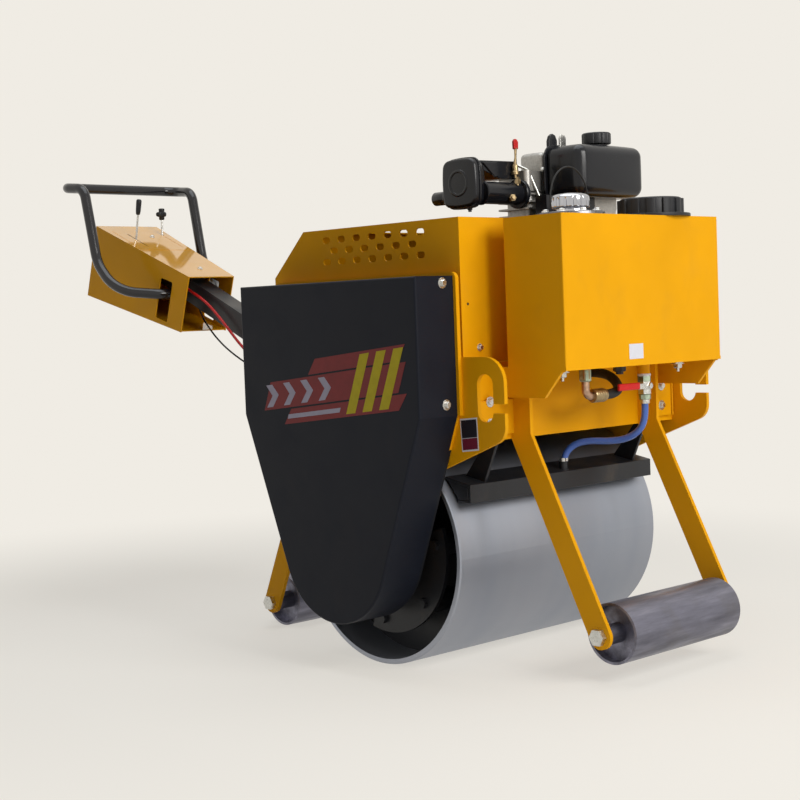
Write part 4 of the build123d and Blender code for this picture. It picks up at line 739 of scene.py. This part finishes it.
# Fittings under the tank: nuts, crimped ferrule, outlet pipe, tap lever, drain plug
FITTING_X, ELBOW_Y, TAP_Y, DRAIN_Y, HOSE_Z = 443, -118, 94, 4, 615
f = Form()
elbow_nut = [(12.5, 0), (14.6, 1.5), (14.6, 25), (12.5, 27)]
f.lathe((FITTING_X, ELBOW_Y, 675), (0, 0, -1), elbow_nut, 6, turn=0.3)
tap_nut = [(14.5, 0), (16.4, 1.5), (16.4, 15), (14.5, 17)]
f.lathe((FITTING_X, TAP_Y, 652), (0, 0, -1), tap_nut, 6, turn=0.5)
valve = [(13.5, 0), (13.5, 20), (12, 22), (12, 26), (14, 28), (14, 38), (10, 40), (10, 46)]
f.lathe((FITTING_X, TAP_Y, 634), (0, 0, -1), valve, 8)
f.done("fitting_nuts", "green_zinc", angle=25)
f = Form()
crimp = [(14.4, 1)]
CRIMP_PITCH = 7.6
for k in range(5):
    h = CRIMP_PITCH * k
    crimp += [(15.6, 3 + h), (15.6, 7 + h), (14.8, 8 + h), (14.8, 9.6 + h)]
f.lathe((FITTING_X, ELBOW_Y + 21, HOSE_Z), (0, 1, 0), crimp + [(14.2, 42.5)], 32)
f.done("ferrule", "brass")
f = Form()
elbow = [(FITTING_X, ELBOW_Y, 650), (FITTING_X, ELBOW_Y, HOSE_Z), (FITTING_X, ELBOW_Y + 22, HOSE_Z)]
f.tube(fillet_path(elbow, (16,)), 8.8, 20)
f.done("elbow_skin", "copper_tint")
f = Form()
f.lathe((FITTING_X, TAP_Y, 690), (0, 0, -1), [(14, 0), (14, 38)], 28)
f.done("outlet_pipe", "yellow_paint")
f = Form()
f.lathe((FITTING_X, TAP_Y, 655), (0, 0, -1), [(15, 0), (15.6, 1), (15.6, 5), (15, 6)], 28)
f.done("outlet_ring", "label_white")
f = Form()
f.prism([(456, 102, 620), (456, 102, 634), (460, 48, 633), (460, 48, 621)], (3, 0, 0))
f.lathe((455, 94, 627), (1, 0, 0), [(8, 0), (8, 6), (6.5, 8)], 6)
f.done("tap_lever_root", "zinc")
f = Form()
f.block((462, 12, 629), (4, 38, 8), 3, (0, 0, 0), 3, 4)
f.done("tap_lever_look", "red_sheath", node="tap_lever", angle=60)
f = Form()
f.lathe((FITTING_X, DRAIN_Y, 690), (0, 0, -1), [(20, 0), (20, 12), (18, 14)], 28)
f.done("drain_boss", "yellow_paint")
f = Form()
f.lathe((FITTING_X, DRAIN_Y, 676), (0, 0, -1), [(15, 0), (15, 10), (12, 12), (9, 12), (9, 18)], 6)
f.done("drain_plug", "black_paint", bevel=0.8)

# Bolts of the tank, the legs, the drive cover and the hood
FRONT_FACE, REAR_FACE, LEG_BOLT_Y, HOOD_FRONT = 330, -320, 308, 302
f = Form()
for y in (-210, 208):
    f.lathe((455, y, 680), (0, 0, -1), [(13, 0), (13, 7)], 24)
    f.bolt((455, y, 673.5), (0, 0, -1), 19, 10, 16, 0.4, 9)
for y in (-LEG_BOLT_Y, LEG_BOLT_Y):
    for z in (614, 566):
        f.bolt((FRONT_FACE, y, z), (1, 0, 0), 13, 6, 12, 0.3)
        f.bolt((REAR_FACE, y, z), (-1, 0, 0), 13, 6, 12, 0.3)
for x, s in ((298, 1), (-298, -1)):
    for z in (875.6, 613.6):
        f.bolt((x, -411, z), (s, 0, 0), 13, 6.5, 12, 0.5)
for y in (-304.5, 304.5):
    f.bolt((HOOD_FRONT, y, 733), (1, 0, 0), 11, 5.5, 8.5, 0.5)
f.done("frame_bolts", "zinc")
# Painted shade: thin black discs stand for the hood's small holes, whose dark insides are shade
f = Form()
for y in (-337, 337):
    f.lathe((HOOD_FRONT, y, 829), (1, 0, 0), [(3.2, -0.4), (3.2, 0.25)], 20)
f.done("hood_hole_shade_discs", "rubber")

# Weld beads of the shelf and the legs; the first row, meant for the hook plates, stands clear of them
f = Form()
for s in (-1, 1):
    f.bead((FRONT_FACE, s * 351, 540), (FRONT_FACE, s * 351, 690), 2.6)
    f.bead((368, s * 276, 679), (520, s * 276, 679), 2.4)
    f.bead((331, s * 228, 542), (331, s * 228, 614), 2.4)
    f.bead((-321, s * 228, 542), (-321, s * 228, 614), 2.4)
f.done("welds", "yellow_paint", angle=60)

# Labels: bare plates where the machine carries its own
LABEL_BACK, FIELD_BACK = -368.0, -368.4
f = Form()
outer = [(295.6, 580.2), (346.6, 584.5), (349.1, 513.4), (299.6, 508.3)]
f.prism([(x, LABEL_BACK, z) for x, z in outer], (0, -0.5, 0))
f.done("lift_label", "label_white")
mid = Vector((322.7, 546.6))


def inner_patch(v0, v1, inset, depth):
    """A part of the lift label's field between two heights, from 0 at its top to 1 below."""
    a, b, c, d = [mid + (Vector(p) - mid) * inset for p in outer]
    corners_2d = [a.lerp(d, v0), b.lerp(c, v0), b.lerp(c, v1), a.lerp(d, v1)]
    return [(p.x, depth, p.y) for p in corners_2d]


f = Form()
f.prism(inner_patch(0, 0.6, 0.9, FIELD_BACK), (0, -0.25, 0))
f.done("lift_label_field", "label_black")
f = Form()
f.prism(inner_patch(0.62, 1, 0.9, FIELD_BACK), (0, -0.25, 0))
f.done("lift_label_foot", "label_maroon")
f = Form()
f.prism([(526, -65, 728), (526, -15, 728), (526, -15, 694.5), (526, -65, 694.5)], (0.6, 0, 0))
f.done("tank_label", "label_white", bevel=0.3)

# Cover decal: a generic design of slanted bars and chevrons in red, yellow and white
COVER_FACE = -493.0


def flat(points, level):
    return [(x, COVER_FACE - level, z) for x, z in points]


def bar(x0, x1, z0, z1, lean=26):
    return [(x0 + lean, z1), (x1 + lean, z1), (x1, z0), (x0, z0)]


def lift(points):
    """Follows the decal's own slope along the cover."""
    return [(x, z + 0.10 * (x + 225)) for x, z in points]


f = Form()
for x0, x1, z0, z1 in ((-222, 236, 598, 662), (-150, 236, 560, 594), (-60, 236, 666, 700)):
    f.prism(flat(lift(bar(x0, x1, z0, z1)), 0), (0, -0.4, 0))
f.done("decal_ground", "decal_red")
f = Form()
for k in range(4):
    x = -212 + 62 * k
    chevron = [(x, 604), (x + 22, 604), (x + 44, 630), (x + 22, 656), (x, 656), (x + 22, 630)]
    f.prism(flat(lift(chevron), 0.4), (0, -0.3, 0))
f.prism(flat(lift(bar(-138, 44, 572, 582, 4)), 0.4), (0, -0.3, 0))
f.done("decal_marks", "decal_white")
f = Form()
for k in range(3):
    x = 66 + 54 * k
    f.prism(flat(lift(bar(x, x + 30, 566, 694, 52)), 0.4), (0, -0.3, 0))
f.done("decal_bars", "decal_yellow")

# Console: floor, top cover plate round the lever slits, and its screws
half_low, half_up = 83, 112
drop = Vector((-sin(radians(17.9)), 0, -cos(radians(17.9))))
front_low = Vector((-1060, 0, 946)) + drop * 167
rear_low = Vector(panel(462.8, 0, 0)) + drop * 220
f = Form()
f.prism(
    [
        front_low + Vector((-2, -half_low + 2, 0)),
        front_low + Vector((-2, half_low - 2, 0)),
        rear_low + Vector((3, half_up - 2, 0)),
        rear_low + Vector((3, -half_up + 2, 0)),
    ],
    (0, 0, 3),
)
f.done("console_floor", "console_paint", "handle")
f = Form()
COVER_START, COVER_END, COVER_RISE = 238, 412, 0.5
TRAVEL_SLIT, THROTTLE_SLIT = (-49.4, -46.6), (76.6, 79.4)
cover_lift = Vector(panel(0, 0, COVER_RISE)) - Vector(panel(0, 0, 0))


def cover_strip(run0, run1, y0, y1):
    """One rectangle of the cover plate, between two runs up the panel and two sides."""
    f.prism([panel(run0, y0, 0), panel(run0, y1, 0), panel(run1, y1, 0), panel(run1, y0, 0)], cover_lift)


for y0, y1 in ((-86, TRAVEL_SLIT[0]), (TRAVEL_SLIT[1], THROTTLE_SLIT[0]), (THROTTLE_SLIT[1], 88)):
    cover_strip(COVER_START, COVER_END, y0, y1)
for run0, run1 in ((COVER_START, 268), (385, COVER_END)):
    cover_strip(run0, run1, *TRAVEL_SLIT)
for run0, run1 in ((COVER_START, 262), (382, COVER_END)):
    cover_strip(run0, run1, *THROTTLE_SLIT)
f.done("console_cover", "console_paint", "handle")
f = Form()
rise = Vector((sin(slope), 0, cos(slope)))
f.bolt(panel(68.7, 5.8, 0), rise, 10, 4, 8)
f.bolt(panel(358.8, 26.8, COVER_RISE), rise, 10, 4, 8)
f.done("console_screws", "zinc", "handle")

# Levers: thin rods in the slits, a long grip on one and a star knob on the other
tilt = radians(12)
SLIT_DEPTH = 8
travel_aim = Vector((sin(tilt), 0, cos(tilt)))
travel_foot = Vector(panel(334, -48, -SLIT_DEPTH))
f = Form()
f.lathe(travel_foot, travel_aim, [(3.2, 0), (3.2, 92)], 16)
throttle_foot = Vector(panel(376, 78, -SLIT_DEPTH))
throttle_aim = Vector((0.03, 0, 1)).normalized()
f.lathe(throttle_foot, throttle_aim, [(3.2, 0), (3.2, 72)], 16)
f.done("lever_rods", "zinc", "handle")
f = Form()
long_grip = [(4.5, 84), (6.5, 87), (7.6, 96), (8.2, 118), (8.2, 126), (7, 130), (4, 131.5)]
f.lathe(travel_foot, travel_aim, long_grip, 24)
f.done("travel_lever_look", "black_plastic", "handle", node="travel_lever", angle=50)
f = Form()
f.lathe(throttle_foot, throttle_aim, [(6, 56), (8.4, 58), (8.8, 84), (9.4, 88), (9.0, 91), (6, 92)], 28)


def lobes(r, h, a):
    return r * (0.78 + 0.22 * cos(5 * a)) if r > 9 else r


star = [(8, 65), (15, 67.5), (17.5, 71), (17.5, 77), (15, 80), (8, 82)]
f.lathe(throttle_foot, throttle_aim, star, 80, radial=lobes)
f.done("throttle_lever_look", "black_plastic", "handle", node="throttle_lever", angle=50)

# Handlebar: one bent tube, both ends on the arm inside the console
BAR_R = 15.2
left_side = [(-1522, 212, 1239), (-1412, 199, 1228), (-1362, 196, 1000)]
left_side += [(-1278, 192, 914), (-1172, 104, 900), (-1172, 30, 900)]
bends = (46, 40, 110, 140, 45)
right_side = [(x, -y, z) for x, y, z in reversed(left_side)]
f = Form()
f.tube(fillet_path(right_side + left_side, bends[::-1] + bends, 10), BAR_R, 28)
f.done("handlebar_look", "handle_gloss", "handle", node="handlebar", angle=60)

# Stage and light
PALE = (0.871, 0.838, 0.776)
SHADOW_REACH, FLOOR_FADE, NEAR_GLOW, FLOOR_HALF = 0.9, 2.6, 0.62, 60
WORLD_LIGHT = 0.13
floor_mat = Mat("floor", (0.96, 0.93, 0.87), 0.9, spec=0.0)
lit = floor_mat.b
glow = floor_mat.n("Emission", Strength=1.0)
glow.inputs["Color"].default_value = (*PALE, 1)
blend = floor_mat.n("MixShader")
spread = floor_mat.n("VectorMath", operation="LENGTH")
floor_mat.link(floor_mat.coord, "Object", spread, 0)
far = floor_mat.n("MapRange")
far.interpolation_type = "SMOOTHSTEP"
far.inputs["From Min"].default_value = SHADOW_REACH
far.inputs["From Max"].default_value = FLOOR_FADE
far.inputs["To Min"].default_value = NEAR_GLOW
far.inputs["To Max"].default_value = 1.0
floor_mat.link(spread, "Value", far, "Value")
rays = floor_mat.n("LightPath")
seen = floor_mat.n("Math", operation="MAXIMUM")
floor_mat.link(rays, "Is Camera Ray", seen, 0)
floor_mat.link(rays, "Is Glossy Ray", seen, 1)
factor = floor_mat.n("Math", operation="MULTIPLY")
floor_mat.link(far, "Result", factor, 0)
floor_mat.link(seen, "Value", factor, 1)
floor_mat.link(factor, "Value", blend, "Fac")
floor_mat.link(lit, "BSDF", blend, 1)
floor_mat.link(glow, "Emission", blend, 2)
output = floor_mat.t.nodes["Material Output"]
floor_mat.link(blend, "Shader", output, "Surface")
floor_mesh = bpy.data.meshes.new("floor")
bm = bmesh.new()
bmesh.ops.create_grid(bm, x_segments=1, y_segments=1, size=FLOOR_HALF)
bm.to_mesh(floor_mesh)
bm.free()
floor_mesh.materials.append(floor_mat.m)
floor = bpy.data.objects.new("floor", floor_mesh)
scene.collection.objects.link(floor)

world = bpy.data.worlds.new("world")
scene.world = world
world.use_nodes = True
wt = world.node_tree
bg = wt.nodes["Background"]
bg.inputs["Color"].default_value = (*PALE, 1)
path = wt.nodes.new("ShaderNodeLightPath")
mix = wt.nodes.new("ShaderNodeMath")
mix.operation = "MAXIMUM"
wt.links.new(path.outputs["Is Camera Ray"], mix.inputs[0])
wt.links.new(path.outputs["Is Glossy Ray"], mix.inputs[1])
level = wt.nodes.new("ShaderNodeMapRange")
level.inputs["To Min"].default_value = WORLD_LIGHT
level.inputs["To Max"].default_value = 1.0
wt.links.new(mix.outputs[0], level.inputs["Value"])
wt.links.new(level.outputs[0], bg.inputs["Strength"])


def lamp(name, place, target, size, power, color=(1, 1, 1)):
    data = bpy.data.lights.new(name, "AREA")
    data.shape = "RECTANGLE"
    data.size, data.size_y = size
    data.energy = power
    data.color = color
    obj = bpy.data.objects.new(name, data)
    scene.collection.objects.link(obj)
    obj.location = place
    obj.rotation_euler = (Vector(target) - Vector(place)).to_track_quat("-Z", "Y").to_euler()


lamp("key", (4.4, -0.1, 2.5), (0.3, 0, 0.6), (2.4, 2.0), 132, (1, 0.98, 0.95))
lamp("fill", (0.2, -5.0, 2.2), (0.2, 0, 0.6), (4, 2.5), 3, (1, 0.85, 0.7))
lamp("top", (0.3, 0.0, 4.5), (0.3, 0, 0.5), (3.4, 3.4), 80, (0.88, 0.94, 1))
